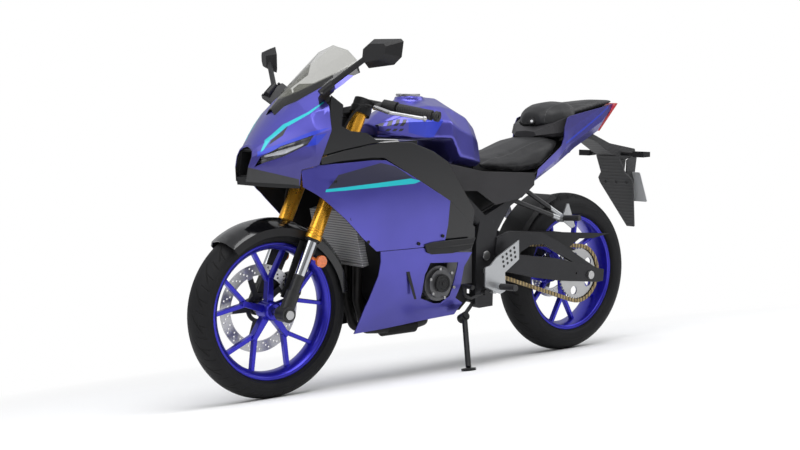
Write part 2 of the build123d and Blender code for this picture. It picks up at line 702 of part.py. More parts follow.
with BuildPart() as rear_caliper:
    caliper_plane = Plane(origin=(rear_x, disc_y, rear_tyre_radius), x_dir=(1, 0, 0), z_dir=(0, -1, 0))
    with BuildSketch(caliper_plane.offset(-17)):
        with BuildLine():
            Polyline((44, 76), (70, 58), (118, 84), (104, 124), (60, 132), (36, 112), close=True)
        make_face()
    extrude(amount=40)
    with BuildSketch(caliper_plane.offset(-disc_thickness / 2 - pad_gap)):
        Circle(rear_disc_radius + 3)
    extrude(amount=disc_thickness + 2 * pad_gap, mode=Mode.SUBTRACT)
    with BuildSketch(caliper_plane.offset(12)):
        with BuildLine():
            Polyline((-16, -16), (24, -16), (96, 40), (100, 84), (60, 90), (-16, 24), close=True)
        make_face()
        Circle(axle_radius + 8, mode=Mode.SUBTRACT)
    extrude(amount=9)

shock_low = (-232, 0, 438)
shock_high = (-196, 0, 640)
spring_radius = 29
with BuildPart() as rear_shock:
    shock_axis = Vector(*shock_high) - Vector(*shock_low)
    add(rod(shock_low, shock_high, 11))
    shock_plane = Plane(origin=shock_low, z_dir=shock_axis)
    for i in range(7):
        with BuildSketch(shock_plane.offset(30 + i * 21)):
            Circle(spring_radius)
        extrude(amount=10)
    add(rod((shock_low[0], -22, shock_low[2]), (shock_low[0], 22, shock_low[2]), 14))
    add(rod((shock_high[0], -22, shock_high[2]), (shock_high[0], 22, shock_high[2]), 14))
    add(swingarm.part, mode=Mode.SUBTRACT)

# ---------------------------------------------------------------- fairing
side_stations = [
    (70, [(192, 470), (206, 560), (208, 640), (200, 720), (182, 800)]),
    (250, [(198, 470), (212, 560), (214, 650), (206, 730), (184, 810)]),
    (400, [(200, 470), (212, 560), (214, 650), (204, 730), (180, 805)]),
    (520, [(192, 470), (205, 560), (207, 650), (196, 730), (172, 800)]),
    (620, [(176, 470), (190, 560), (188, 650), (178, 730), (164, 795)]),
    (720, [(126, 470), (140, 560), (134, 650), (110, 730), (100, 790)]),
]
side_outline = [(394, 486), (453, 534), (525, 603), (601, 670), (654, 707), (654, 760), (604, 776), (524, 780),
                (394, 788), (341, 786), (116, 661), (78, 641), (92, 502), (191, 486)]
with BuildPart() as side_fairings:
    add(shell(side_stations, panel_wall))
    add(side_plate(side_outline, 260, 200), mode=Mode.INTERSECT)
    mirror(about=Plane.XZ)

belly_stations = [
    (420, [(80, 185), (108, 240), (142, 310), (174, 400), (200, 490)]),
    (300, [(86, 190), (118, 250), (152, 320), (180, 400), (200, 490)]),
    (100, [(92, 200), (124, 255), (156, 325), (182, 400), (200, 490)]),
    (-60, [(96, 206), (124, 262), (152, 330), (174, 400), (188, 490)]),
]
belly_outline = [(402, 193), (391, 290), (367, 399), (366, 449), (374, 484), (191, 484), (150, 466), (-46, 451),
                 (-14, 401), (-18, 330), (-10, 285), (-52, 262), (-32, 219), (109, 212), (264, 200)]
window_outline = [(22, 296), (58, 272), (88, 274), (158, 300), (166, 388), (150, 428), (18, 420)]
with BuildPart() as belly_pans:
    add(shell(belly_stations, panel_wall))
    add(side_plate(belly_outline, 260, 200), mode=Mode.INTERSECT)
    add(side_plate(window_outline, 260, 200), mode=Mode.SUBTRACT)
    mirror(about=Plane.XZ)

duct_outline = [(188, 492), (156, 501), (88, 502), (60, 640), (40, 628), (-62, 540), (-62, 505), (-46, 456),
                (62, 462), (150, 468)]
with BuildPart() as lower_ducts:
    add(side_plate(duct_outline, 180, 30))
    add(belly_pans.part, mode=Mode.SUBTRACT)
    add(side_fairings.part, mode=Mode.SUBTRACT)
    add(engine_covers.part, mode=Mode.SUBTRACT)
    mirror(about=Plane.XZ)

frame_cover_outline = [(598, 800), (506, 821), (389, 840), (337, 846), (222, 844), (128, 812), (60, 774), (-64, 600),
                       (-56, 546), (-30, 556), (80, 652), (116, 674), (341, 794), (394, 795), (524, 787),
                       (594, 778)]
with BuildPart() as frame_covers:
    add(side_plate(frame_cover_outline, 176, 14))
    add(side_fairings.part, mode=Mode.SUBTRACT)
    add(main_frame.part, mode=Mode.SUBTRACT)
    add(lower_ducts.part, mode=Mode.SUBTRACT)
    mirror(about=Plane.XZ)

nose_stations = [
    (800, [(24, 724), (30, 766), (31, 792), (24, 806), (12, 812), (0, 814)]),
    (752, [(60, 720), (70, 770), (66, 815), (50, 836), (26, 845), (0, 848)]),
    (715, [(92, 718), (108, 772), (104, 830), (78, 870), (40, 888), (0, 894)]),
    (672, [(130, 714), (146, 786), (144, 846), (110, 904), (58, 934), (0, 946)]),
    (620, [(166, 704), (180, 806), (182, 872), (146, 940), (66, 984), (0, 1004)]),
    (560, [(176, 740), (198, 826), (202, 896), (176, 968), (90, 1018), (0, 1060)]),
    (490, [(180, 780), (206, 850), (204, 930), (178, 1008), (122, 1062), (0, 1130)]),
    (400, [(180, 820), (204, 870), (198, 950), (182, 1034), (154, 1092), (0, 1190)]),
]
nose_outline = [(790, 719), (786, 770), (768, 830), (752, 853), (672, 968), (560, 1035), (440, 1100), (404, 1104),
                (450, 1062), (561, 990), (572, 884), (600, 802), (606, 778), (656, 762), (656, 706), (700, 712)]
screen_stations = [
    (676, [(26, 938), (14, 951), (7, 956), (0, 957)]),
    (600, [(80, 982), (60, 1004), (30, 1024), (0, 1032)]),
    (500, [(126, 1042), (102, 1070), (60, 1098), (0, 1118)]),
    (424, [(154, 1076), (136, 1118), (86, 1152), (0, 1172)]),
]
screen_wall = 3.5
with BuildPart() as windscreen:
    add(shell(screen_stations, screen_wall, arch=True))
screen_gap = 0.6
with BuildPart() as screen_space:
    with BuildSketch(Plane.XZ):
        with BuildLine():
            Polyline((690, 948), (676, 947), (600, 992), (500, 1052), (380, 1100), (380, 1260), (690, 1260), close=True)
        make_face()
    extrude(amount=165, both=True)

lamp_outline = [(772, 770), (756, 802), (706, 838), (625, 874), (640, 844), (700, 806), (744, 786)]
with BuildPart() as nose_cowl:
    add(shell(nose_stations, panel_wall, arch=True))
    with BuildSketch(Plane.XZ):
        with BuildLine():
            Polyline(*nose_outline, close=True)
        make_face()
    extrude(amount=260, both=True, mode=Mode.INTERSECT)
    add(screen_space.part, mode=Mode.SUBTRACT)
    with BuildSketch(Plane.XZ):
        with BuildLine():
            Polyline(*lamp_outline, close=True)
        make_face()
    extrude(amount=260, both=True, mode=Mode.SUBTRACT)
    add(windscreen.part, mode=Mode.SUBTRACT)

# Lamps fill the slits in the nose a little below its surface.
lamp_recess = 3
lamp_depth = 26
lamp_sections = [(x, inward(half[:4], lamp_recess)) for x, half in nose_stations[1:6]]
with BuildPart() as headlamps:
    add(shell(lamp_sections, lamp_depth))
    add(side_plate(lamp_outline, 260, 240), mode=Mode.INTERSECT)
    add(nose_cowl.part, mode=Mode.SUBTRACT)
    mirror(about=Plane.XZ)

intake_half = 38
intake_wall = 4
chin_stations = [
    (788, [(26, 712), (30, 737), (0, 737)]),
    (752, [(56, 708), (62, 738), (0, 738)]),
    (700, [(98, 704), (104, 738), (0, 738)]),
    (650, [(134, 702), (142, 732), (0, 732)]),
]
with BuildPart() as nose_duct:
    add(body(chin_stations))
    add(side_plate([(776, 737), (764, 828), (748, 838), (690, 808), (690, 737)], intake_half, 2 * intake_half))
    add(side_plate([(800, 742), (790, 800), (764, 823), (744, 830), (700, 800), (700, 742)],
                   intake_half - intake_wall, 2 * (intake_half - intake_wall)), mode=Mode.SUBTRACT)
    add(nose_cowl.part, mode=Mode.SUBTRACT)
    add(headlamps.part, mode=Mode.SUBTRACT)

inner_outline = [(566, 886), (552, 1000), (505, 970), (512, 902), (477, 885), (411, 878), (374, 856), (236, 850),
                 (337, 848), (389, 843), (506, 824), (594, 806)]
with BuildPart() as inner_cowl:
    add(side_plate(inner_outline, 172, 6))
    add(nose_cowl.part, mode=Mode.SUBTRACT)
    add(frame_covers.part, mode=Mode.SUBTRACT)
    add(side_fairings.part, mode=Mode.SUBTRACT)
    mirror(about=Plane.XZ)

with BuildPart() as fairing_trim:
    add(frame_covers.part)
    add(lower_ducts.part)
    add(inner_cowl.part)

panel_plane = Plane(origin=(500, 0, 1012), x_dir=(0, -1, 0), z_dir=(-0.82, 0, 0.57))
with BuildPart() as panel_box:
    with BuildSketch(panel_plane):
        RectangleRounded(150, 72, 14)
    extrude(amount=-26)
    with BuildSketch(panel_plane):
        RectangleRounded(126, 52, 8)
    extrude(amount=-3, mode=Mode.SUBTRACT)

instrument_panel = panel_box.part
stay_radius = 9
with BuildPart() as fairing_stay:
    for side in (1, -1):
        add(rod((396, side * 12, 884), (530, side * 14, 934), stay_radius))
        add(rod((530, side * 14, 934), (562, side * 76, 962), stay_radius))
        add(rod((562, side * 76, 962), (530, side * 58, 1018), stay_radius))
        add(rod((562, side * 76, 962), (588, side * 164, 927), stay_radius))
    add(rod((562, -76, 962), (562, 76, 962), stay_radius))
    add(main_frame.part, mode=Mode.SUBTRACT)
    add(nose_cowl.part, mode=Mode.SUBTRACT)
    add(instrument_panel)

mirror_plane = Plane(origin=(480, 262, 0), x_dir=(-0.36, 0.933, 0), z_dir=(0.933, 0.36, 0))
mirror_face = [(0, 1098), (10, 1085), (104, 1094), (132, 1118), (139, 1166), (130, 1175), (30, 1177), (4, 1150)]
mirror_back = [(8, 1110), (18, 1102), (70, 1110), (92, 1128), (96, 1150), (88, 1159), (34, 1160), (12, 1144)]
mirror_depth = 38
with BuildPart() as mirrors:
    for depth, outline in ((0, mirror_face), (mirror_depth, mirror_back)):
        with BuildSketch(mirror_plane.offset(depth)):
            with BuildLine():
                Polyline(*outline, close=True)
            make_face()
    loft(ruled=True)
    add(rod((588, 160, 1006), (548, 172, 1038), 12))
    add(rod((552, 171, 1036), (498, 284, 1116), 9))
    add(nose_cowl.part, mode=Mode.SUBTRACT)
    add(windscreen.part, mode=Mode.SUBTRACT)
    mirror(about=Plane.XZ)

# ---------------------------------------------------------------- tank, seats and tail
cap_x = 96
cap_z = 1003
cap_radius = 40
neck_radius = 22
plug_gap = 2
tank_stations = [
    (286, [(50, 858), (60, 866), (56, 888), (38, 900), (0, 906)]),
    (250, [(80, 856), (98, 862), (92, 900), (66, 922), (0, 938)]),
    (200, [(100, 852), (118, 860), (112, 908), (84, 944), (0, 970)]),
    (150, [(118, 849), (148, 858), (142, 912), (104, 962), (0, 994)]),
    (90, [(118, 848), (164, 858), (156, 914), (110, 968), (0, 1002)]),
    (30, [(110, 846), (168, 856), (160, 912), (105, 965), (0, 1001)]),
    (-20, [(100, 765), (150, 790), (148, 885), (100, 955), (0, 998)]),
    (-100, [(95, 752), (132, 775), (124, 860), (85, 925), (0, 958)]),
    (-150, [(85, 746), (112, 765), (96, 835), (70, 888), (0, 912)]),
]
with BuildPart() as fuel_tank:
    add(body(tank_stations))
    add(rod((cap_x, 0, 950), (cap_x, 0, cap_z), cap_radius + 12))
    add(rod((cap_x, 0, 950), (cap_x, 0, cap_z), neck_radius), mode=Mode.SUBTRACT)

cap_rest = cap_z + part_gap
hinge_x = cap_x + cap_radius + 6
with BuildPart() as fuel_cap:
    add(rod((cap_x, 0, cap_rest), (cap_x, 0, cap_rest + 7), cap_radius))
    add(rod((cap_x, 0, cap_rest - 5), (cap_x, 0, cap_rest), neck_radius - plug_gap))
    add(rod((hinge_x, -12, cap_rest + 4), (hinge_x, 12, cap_rest + 4), 4))
    add(side_plate([(cap_x + 30, cap_rest + 1), (cap_x + 30, cap_rest + 7), (hinge_x, cap_rest + 7),
                    (hinge_x, cap_rest + 1)], 12, 24))

panel_stations = [
    (290, [(66, 880), (68, 898), (58, 908)]),
    (262, [(96, 870), (99, 900), (76, 924)]),
    (240, [(107, 858), (109, 908), (86, 938)]),
    (200, [(126, 856), (128, 912), (98, 954)]),
    (150, [(156, 856), (157, 914), (114, 968)]),
    (60, [(178, 856), (170, 916), (114, 968)]),
]
tank_panel_outline = [(286, 903), (211, 930), (122, 943), (71, 924), (119, 859), (185, 860), (284, 882)]
with BuildPart() as tank_panels:
    add(shell(panel_stations, 14))
    add(side_plate(tank_panel_outline, 260, 240), mode=Mode.INTERSECT)
    add(fuel_tank.part, mode=Mode.SUBTRACT)
    mirror(about=Plane.XZ)

seat_stations = [
    (-152, [(84, 748), (98, 756), (92, 766), (50, 772), (0, 774)]),
    (-220, [(112, 738), (132, 752), (118, 770), (62, 782), (0, 786)]),
    (-320, [(128, 732), (150, 750), (138, 778), (78, 800), (0, 812)]),
    (-420, [(126, 738), (150, 762), (138, 808), (80, 834), (0, 840)]),
    (-500, [(104, 776), (134, 800), (128, 832), (78, 848), (0, 850)]),
    (-545, [(90, 818), (116, 830), (110, 842), (70, 848), (0, 850)]),
]
pod_stations = [
    (-505, [(30, 890), (50, 898), (48, 922), (30, 936), (0, 940)]),
    (-535, [(74, 886), (94, 898), (88, 938), (58, 958), (0, 964)]),
    (-575, [(100, 890), (118, 906), (104, 950), (66, 972), (0, 980)]),
    (-625, [(108, 912), (122, 926), (104, 962), (62, 980), (0, 986)]),
    (-650, [(100, 930), (110, 940), (94, 966), (56, 978), (0, 982)]),
]
pad_stations = [
    (-651, [(92, 936), (103, 945), (90, 962), (54, 972), (0, 976)]),
    (-700, [(84, 944), (94, 954), (84, 972), (50, 980), (0, 982)]),
    (-830, [(54, 966), (62, 973), (56, 987), (34, 992), (0, 993)]),
    (-948, [(20, 980), (26, 984), (22, 990), (12, 992), (0, 992)]),
]
rider_seat = body(seat_stations)
seat_pod = body(pod_stations)
passenger_seat = body(pad_stations)

step_stations = [
    (-478, [(40, 852), (60, 858), (50, 872), (0, 876)]),
    (-520, [(98, 853), (118, 866), (108, 900), (0, 902)]),
    (-575, [(112, 855), (130, 872), (122, 924), (0, 926)]),
]
with BuildPart() as seat_step:
    add(body(step_stations))
    add(seat_pod, mode=Mode.SUBTRACT)

tail_stations = [
    (-386, [(120, 672), (150, 700), (153, 740)]),
    (-520, [(116, 742), (142, 775), (148, 820)]),
    (-570, [(112, 770), (140, 820), (140, 930)]),
    (-661, [(92, 812), (118, 850), (114, 945)]),
    (-829, [(48, 866), (76, 910), (66, 980)]),
    (-955, [(8, 954), (22, 974), (22, 990)]),
]
tail_outline = [(-390, 680), (-661, 812), (-829, 872), (-952, 982), (-865, 970), (-585, 932), (-552, 918),
                (-548, 850), (-534, 822), (-400, 734)]
with BuildPart() as passenger_seats:
    add(seat_pod)
    add(passenger_seat)

with BuildPart() as tail_cowl:
    add(shell(tail_stations, panel_wall))
    add(side_plate(tail_outline, 260, 252), mode=Mode.INTERSECT)
    add(seat_pod, mode=Mode.SUBTRACT)
    add(passenger_seat, mode=Mode.SUBTRACT)
    add(seat_step.part, mode=Mode.SUBTRACT)
    add(rider_seat, mode=Mode.SUBTRACT)
    mirror(about=Plane.XZ)

tray_stations = [
    (-576, [(80, 832), (100, 850), (104, 900), (0, 900)]),
    (-661, [(72, 826), (98, 850), (98, 920), (0, 920)]),
    (-829, [(36, 862), (58, 892), (58, 955), (0, 955)]),
    (-930, [(8, 942), (16, 954), (16, 974), (0, 974)]),
]
with BuildPart() as tail_tray:
    add(body(tray_stations))
    add(seat_step.part)
    for piece in (seat_pod, passenger_seat, tail_cowl.part, rear_frame.part):
        add(piece, mode=Mode.SUBTRACT)

with BuildPart() as tail_lamp:
    add(side_plate([(-842, 874), (-854, 872), (-960, 982), (-950, 984)], 40, 80))
    add(tail_cowl.part, mode=Mode.SUBTRACT)
    add(tail_tray.part, mode=Mode.SUBTRACT)
    add(passenger_seat, mode=Mode.SUBTRACT)

side_cover_outline = [(93, 747), (28, 765), (-127, 734), (-264, 728), (-384, 722), (-382, 676), (-318, 632),
                      (-188, 611), (-98, 665), (-25, 668), (93, 729)]
with BuildPart() as side_covers:
    add(side_plate(side_cover_outline, 152, 8))
    for piece in (rider_seat, fuel_tank.part, tail_cowl.part, frame_covers.part, main_frame.part):
        add(piece, mode=Mode.SUBTRACT)
    mirror(about=Plane.XZ)

# Plate holder: an arm from the tail, a flap behind the tyre, and the blank plate.
flap_x = -1000
arm_outline = [(-760, 866), (-805, 862), (-845, 846), (-909, 822), (-1062, 797), (-1072, 770), (-1000, 752),
               (-905, 786), (-815, 836), (-760, 846)]
flap_wall = 6
flap_outline = [(60, 770), (65, 700), (90, 676), (90, 655), (20, 470), (-20, 470), (-90, 655), (-90, 676),
                (-65, 700), (-60, 770)]
flap_plane = Plane(origin=(flap_x, 0, 660), x_dir=(0, 1, 0), z_dir=(1, 0, -0.5))
with BuildPart() as plate_holder:
    add(side_plate(arm_outline, 46, 92))
    with BuildSketch(flap_plane):
        with BuildLine():
            Polyline(*[(y, (z - 660) * 1.118) for y, z in flap_outline], close=True)
        make_face()
    extrude(amount=-flap_wall)
    for y in (-60, -3, 54):
        add(side_plate([(-1000, 752), (-1062, 780), (-1040, 640), (-996, 655)], y + 6, 6))
    for piece in (tail_tray.part, tail_cowl.part, tail_lamp.part, rear_frame.part):
        add(piece, mode=Mode.SUBTRACT)

plate_plane = Plane(origin=(-1056, 0, 640), x_dir=(0, 1, 0), z_dir=(-1, 0, 0.4))
with BuildPart() as number_plate:
    with BuildSketch(plate_plane):
        RectangleRounded(200, 132, 6)
    extrude(amount=3)
    add(plate_holder.part, mode=Mode.SUBTRACT)

indicator_x = -983
indicator_z = 778
with BuildPart() as indicators:
    add(rod((indicator_x, 46, indicator_z), (indicator_x, 118, indicator_z), 8))
    add(side_plate([(indicator_x - 22, indicator_z - 10), (indicator_x - 22, indicator_z + 10),
                    (indicator_x + 18, indicator_z + 12), (indicator_x + 18, indicator_z - 12)], 176, 58))
    mirror(about=Plane.XZ)
    add(plate_holder.part, mode=Mode.SUBTRACT)

# ---------------------------------------------------------------- footrests, pedals and stand
rest_y = 190
peg_x = -172
peg_z = 318
peg_reach = 276
guard_outline = [(-104, 392), (-104, 322), (-178, 290), (-205, 300), (-200, 366), (-270, 410), (-269, 481),
                 (-158, 424), (-130, 398)]
with BuildPart() as footrests:
    add(side_plate(guard_outline, rest_y, 6))
    for x, z in ((-150, 372), (-158, 304)):
        add(rod((x, frame_outer, z), (x, rest_y - 6, z), 12))
    add(rod((peg_x, rest_y, peg_z), (peg_x, peg_reach, peg_z + 4), 12))
    add(rod((-372, 96, 664), (-516, 168, 552), 9))
    add(rod((-300, 96, 628), (-498, 168, 548), 9))
    add(rod((-508, 150, 548), (-516, 182, 548), 16))
    add(rod((-510, 178, 548), (-524, 250, 552), 11))
    add(side_plate([(-512, 540), (-566, 506), (-584, 512), (-548, 600), (-538, 600)], 170, 5))
    mirror(about=Plane.XZ)
    add(rear_frame.part, mode=Mode.SUBTRACT)

with BuildPart() as foot_levers:
    add(rod((-118, rest_y - 28, 300), (-118, rest_y - 6, 300), 12))
    add(bent_rod([(-118, 172, 300), (-40, 184, 286), (-6, 190, 300), (0, 190, 334)], 5, 12))
    add(rod((-4, 186, 334), (-4, 236, 334), 8))
    add(rod((-118, -rest_y + 28, 300), (-118, -rest_y + 6, 300), 12))
    add(bent_rod([(-118, -172, 300), (-40, -184, 272), (10, -196, 272), (34, -200, 276)], 6, 12))
    add(side_plate([(20, 268), (20, 276), (58, 284), (58, 276)], -186, 36))

# The side stand turns about the bolt through its bracket. It is drawn deployed: its foot meets
# the floor of the leaning machine.
stand_pivot = Vector(-40, 150, 216)
lean_slope = math.tan(math.radians(lean))
foot_radius = 26
foot_x = 14
foot_y = 236
foot_point = Vector(foot_x, foot_y, foot_y * lean_slope)
floor_up = Vector(0, -math.sin(math.radians(lean)), math.cos(math.radians(lean)))
stand_down = (foot_point - stand_pivot).normalized()
stand_folded = Vector(-0.985, 0.09, 0.11).normalized()
stand_axis = stand_down.cross(stand_folded).normalized()
stand_swing = math.degrees(math.acos(stand_down.dot(stand_folded)))
stand_hole = 6
leg_end = foot_point + floor_up * 12
with BuildPart() as side_stand:
    add(rod(stand_pivot - stand_axis * 10, stand_pivot + stand_axis * 10, 16))
    add(rod(stand_pivot + stand_down * 6, leg_end, 10))
    add(rod(foot_point, foot_point + floor_up * 8, foot_radius))
    add(rod(stand_pivot - stand_axis * 30, stand_pivot + stand_axis * 30, stand_hole + axle_gap),
        mode=Mode.SUBTRACT)

bracket_start = 11  # along the pivot, from the middle of the stand's eye
bracket_end = 25
bracket_mid = (bracket_start + bracket_end) / 2
with BuildPart() as frame_with_bracket:
    add(rod(stand_pivot - stand_axis * bracket_start, stand_pivot - stand_axis * bracket_end, 17))
    add(rod(stand_pivot - stand_axis * bracket_mid, Vector(-112, 117, 258), 7))
    add(rod(stand_pivot - stand_axis * bracket_end, stand_pivot + stand_axis * bracket_start, stand_hole))
    add(rod(stand_pivot + stand_axis * bracket_start, stand_pivot + stand_axis * (bracket_start + 5), 11))
    add(main_frame.part)

pieces = {
    "front_tyre": front_tyre,
    "front_rim": front_rim,
    "front_disc": front_disc,
    "rear_tyre": rear_tyre,
    "rear_rim": rear_rim,
    "rear_disc": rear_disc,
    "rear_sprocket": rear_sprocket.part,
    "fork_tubes": fork_tubes.part,
    "fork_sliders": fork_sliders.part,
    "front_axle": front_axle.part,
    "fork_clamps": fork_clamps.part,
    "handlebars": handlebars.part,
    "grips": grips.part,
    "hand_levers": hand_levers.part,
    "switchgear": switchgear.part,
    "front_mudguard": front_mudguard.part,
    "front_caliper": front_caliper.part,
    "fork_reflectors": fork_reflectors.part,
    "brake_hose": brake_hose,
    "clutch_cable": clutch_cable,
    "main_frame": frame_with_bracket.part,
    "rear_frame": rear_frame.part,
    "engine": engine.part,
    "engine_covers": engine_covers.part,
    "radiator": radiator.part,
    "exhaust_pipes": exhaust_pipes.part,
    "muffler": muffler.part,
    "swingarm": swingarm.part,
    "rear_axles": rear_axles.part,
    "chain": chain.part,
    "chain_guard": chain_guard.part,
    "rear_caliper": rear_caliper.part,
    "rear_shock": rear_shock.part,
    "side_fairings": side_fairings.part,
    "belly_pans": belly_pans.part,
    "fairing_trim": fairing_trim.part,
    "nose_cowl": largest(nose_cowl.part),
    "nose_duct": largest(nose_duct.part),
    "windscreen": windscreen.part,
    "headlamps": headlamps.part,
    "instrument_panel": fairing_stay.part,
    "mirrors": mirrors.part,
    "fuel_tank": fuel_tank.part,
    "fuel_cap": fuel_cap.part,
    "tank_panels": tank_panels.part,
    "rider_seat": rider_seat,
    "passenger_seat": passenger_seats.part,
    "side_covers": side_covers.part,
    "tail_cowl": tail_cowl.part,
    "tail_tray": tail_tray.part,
    "tail_lamp": tail_lamp.part,
    "plate_holder": plate_holder.part,
    "number_plate": number_plate.part,
    "indicators": indicators.part,
    "footrests": footrests.part,
    "foot_levers": foot_levers.part,
    "side_stand": side_stand.part,
}

# ---------------------------------------------------------------- leaning onto the stand
lean_angle = math.radians(lean)
front_crown = front_tyre_width / 2
rear_crown = rear_tyre_width / 2
drop = 1 - math.cos(lean_angle)
pitch = math.degrees(math.atan((rear_crown - front_crown) * drop / wheelbase))
lift = (front_crown + rear_crown) / 2 * drop
leaning = Location((0, 0, lift)) * Location((0, 0, 0), (0, 1, 0), pitch) * Location((0, 0, 0), (1, 0, 0), -lean)
boxes = [piece.moved(leaning).bounding_box() for piece in pieces.values()]
low_x = min(box.min.X for box in boxes)
high_x = max(box.max.X for box in boxes)
low_y = min(box.min.Y for box in boxes)
high_y = max(box.max.Y for box in boxes)
low_z = min(box.min.Z for box in boxes)
parked = Location((-(low_x + high_x) / 2, -(low_y + high_y) / 2, -low_z)) * leaning

for name, piece in pieces.items():
    placed = piece.moved(parked)
    placed.label = name
    export_step(placed, f"parts/{name}.step")
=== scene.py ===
import bmesh
import bpy
import json
import math
from mathutils import Matrix, Vector

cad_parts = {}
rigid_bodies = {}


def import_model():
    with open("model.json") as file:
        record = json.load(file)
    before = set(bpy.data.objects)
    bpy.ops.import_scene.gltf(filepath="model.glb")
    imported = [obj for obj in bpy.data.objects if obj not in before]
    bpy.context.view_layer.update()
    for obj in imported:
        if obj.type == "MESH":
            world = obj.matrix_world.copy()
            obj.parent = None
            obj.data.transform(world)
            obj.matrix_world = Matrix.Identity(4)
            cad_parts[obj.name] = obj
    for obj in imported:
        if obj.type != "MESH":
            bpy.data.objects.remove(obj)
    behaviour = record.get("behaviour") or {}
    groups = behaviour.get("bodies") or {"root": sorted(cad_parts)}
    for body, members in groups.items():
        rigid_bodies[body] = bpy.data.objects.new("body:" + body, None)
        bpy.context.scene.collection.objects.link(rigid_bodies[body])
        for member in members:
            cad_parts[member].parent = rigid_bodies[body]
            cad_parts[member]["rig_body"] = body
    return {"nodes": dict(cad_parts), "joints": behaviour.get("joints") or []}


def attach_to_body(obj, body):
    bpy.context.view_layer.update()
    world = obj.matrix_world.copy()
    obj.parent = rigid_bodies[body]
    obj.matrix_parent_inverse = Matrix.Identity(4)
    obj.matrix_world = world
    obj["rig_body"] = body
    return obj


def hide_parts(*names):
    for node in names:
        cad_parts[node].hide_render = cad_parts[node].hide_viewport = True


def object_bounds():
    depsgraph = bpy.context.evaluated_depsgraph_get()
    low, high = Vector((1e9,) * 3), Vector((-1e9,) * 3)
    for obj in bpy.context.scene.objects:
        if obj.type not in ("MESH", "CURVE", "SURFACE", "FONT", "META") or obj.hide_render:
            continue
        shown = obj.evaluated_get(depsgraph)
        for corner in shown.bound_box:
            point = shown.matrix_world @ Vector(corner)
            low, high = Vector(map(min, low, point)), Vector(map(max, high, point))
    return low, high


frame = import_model()
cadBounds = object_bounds()
nodes = frame["nodes"]
joints = {joint["name"]: joint for joint in frame["joints"]}
print("frame loaded:", len(nodes), "nodes")

# Pieces are drawn on the upright machine: millimetres, +X forward, +Y to the rider's left, zero on
# the floor midway between the axles. "parked" turns that into the leaning machine's place.
bike = {
    "frontHub": (690, 0, 293),
    "rearHub": (-690, 0, 314),
    "frontRadius": 293,
    "rearRadius": 314,
    "rake": 25,
    "legSpread": 100,  # from the middle to each fork leg
}
mm = 0.001


def parkedPlace():
    side = Vector(joints["rear_wheel_spin"]["axis"]).normalized()
    front = Vector(joints["front_wheel_spin"]["pos_m"])
    rear = Vector(joints["rear_wheel_spin"]["pos_m"])
    drawnFront = Vector(bike["frontHub"]) * mm
    drawnRun = (drawnFront - Vector(bike["rearHub"]) * mm).normalized()
    drawnSide = Vector((0, 1, 0))
    run = (front - rear).normalized()
    drawn = Matrix((drawnRun, drawnSide, drawnRun.cross(drawnSide))).transposed()
    placed = Matrix((run, side, run.cross(side))).transposed()
    turn = (placed @ drawn.transposed()).to_4x4()
    return Matrix.Translation(front - turn @ drawnFront) @ turn


parked = parkedPlace()
parkedFromMm = parked @ Matrix.Scale(mm, 4)
mmFromParked = parkedFromMm.inverted()


def forkPlace():
    # From the fork's own frame, x ahead of the legs and z up along them.
    tilt = Matrix.Rotation(-math.radians(bike["rake"]), 4, "Y")
    return Matrix.Translation(Vector(bike["frontHub"])) @ tilt


fork = forkPlace()


def forkPoint(x, y, z):
    return fork @ Vector((x, y, z))


legAxis = forkPoint(0, 0, 1) - forkPoint(0, 0, 0)


def bodyOf(node):
    return nodes[node]["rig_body"]


class Sock:
    def __init__(self, wiring, socket):
        self.wiring = wiring
        self.socket = socket

    def math(self, operation, *others):
        values = {0: self}
        values.update({i + 1: other for i, other in enumerate(others)})
        return self.wiring.node("ShaderNodeMath", {"operation": operation}, values)

    def __add__(self, other):
        return self.math("ADD", other)

    def __sub__(self, other):
        return self.math("SUBTRACT", other)

    def __rsub__(self, other):
        return self.wiring.node("ShaderNodeMath", {"operation": "SUBTRACT"}, {0: other, 1: self})

    def __mul__(self, other):
        return self.math("MULTIPLY", other)

    def __truediv__(self, other):
        return self.math("DIVIDE", other)

    __radd__ = __add__
    __rmul__ = __mul__

    def absolute(self):
        return self.math("ABSOLUTE")

    def fraction(self):
        return self.math("FRACT")

    def ripple(self):
        # For every whole step: 0 in its middle, 0.5 at its ends.
        return (self.fraction() - 0.5).absolute()

    def most(self, other):
        return self.math("MAXIMUM", other)

    def above(self, limit, soft):
        # 0 to 1 over a strip that reaches "soft" to either side of the limit.
        return self.wiring.node("ShaderNodeMapRange", {"clamp": True},
                                {0: self, 1: limit - soft, 2: limit + soft, 3: 0.0, 4: 1.0})

    def below(self, limit, soft):
        return 1 - self.above(limit, soft)


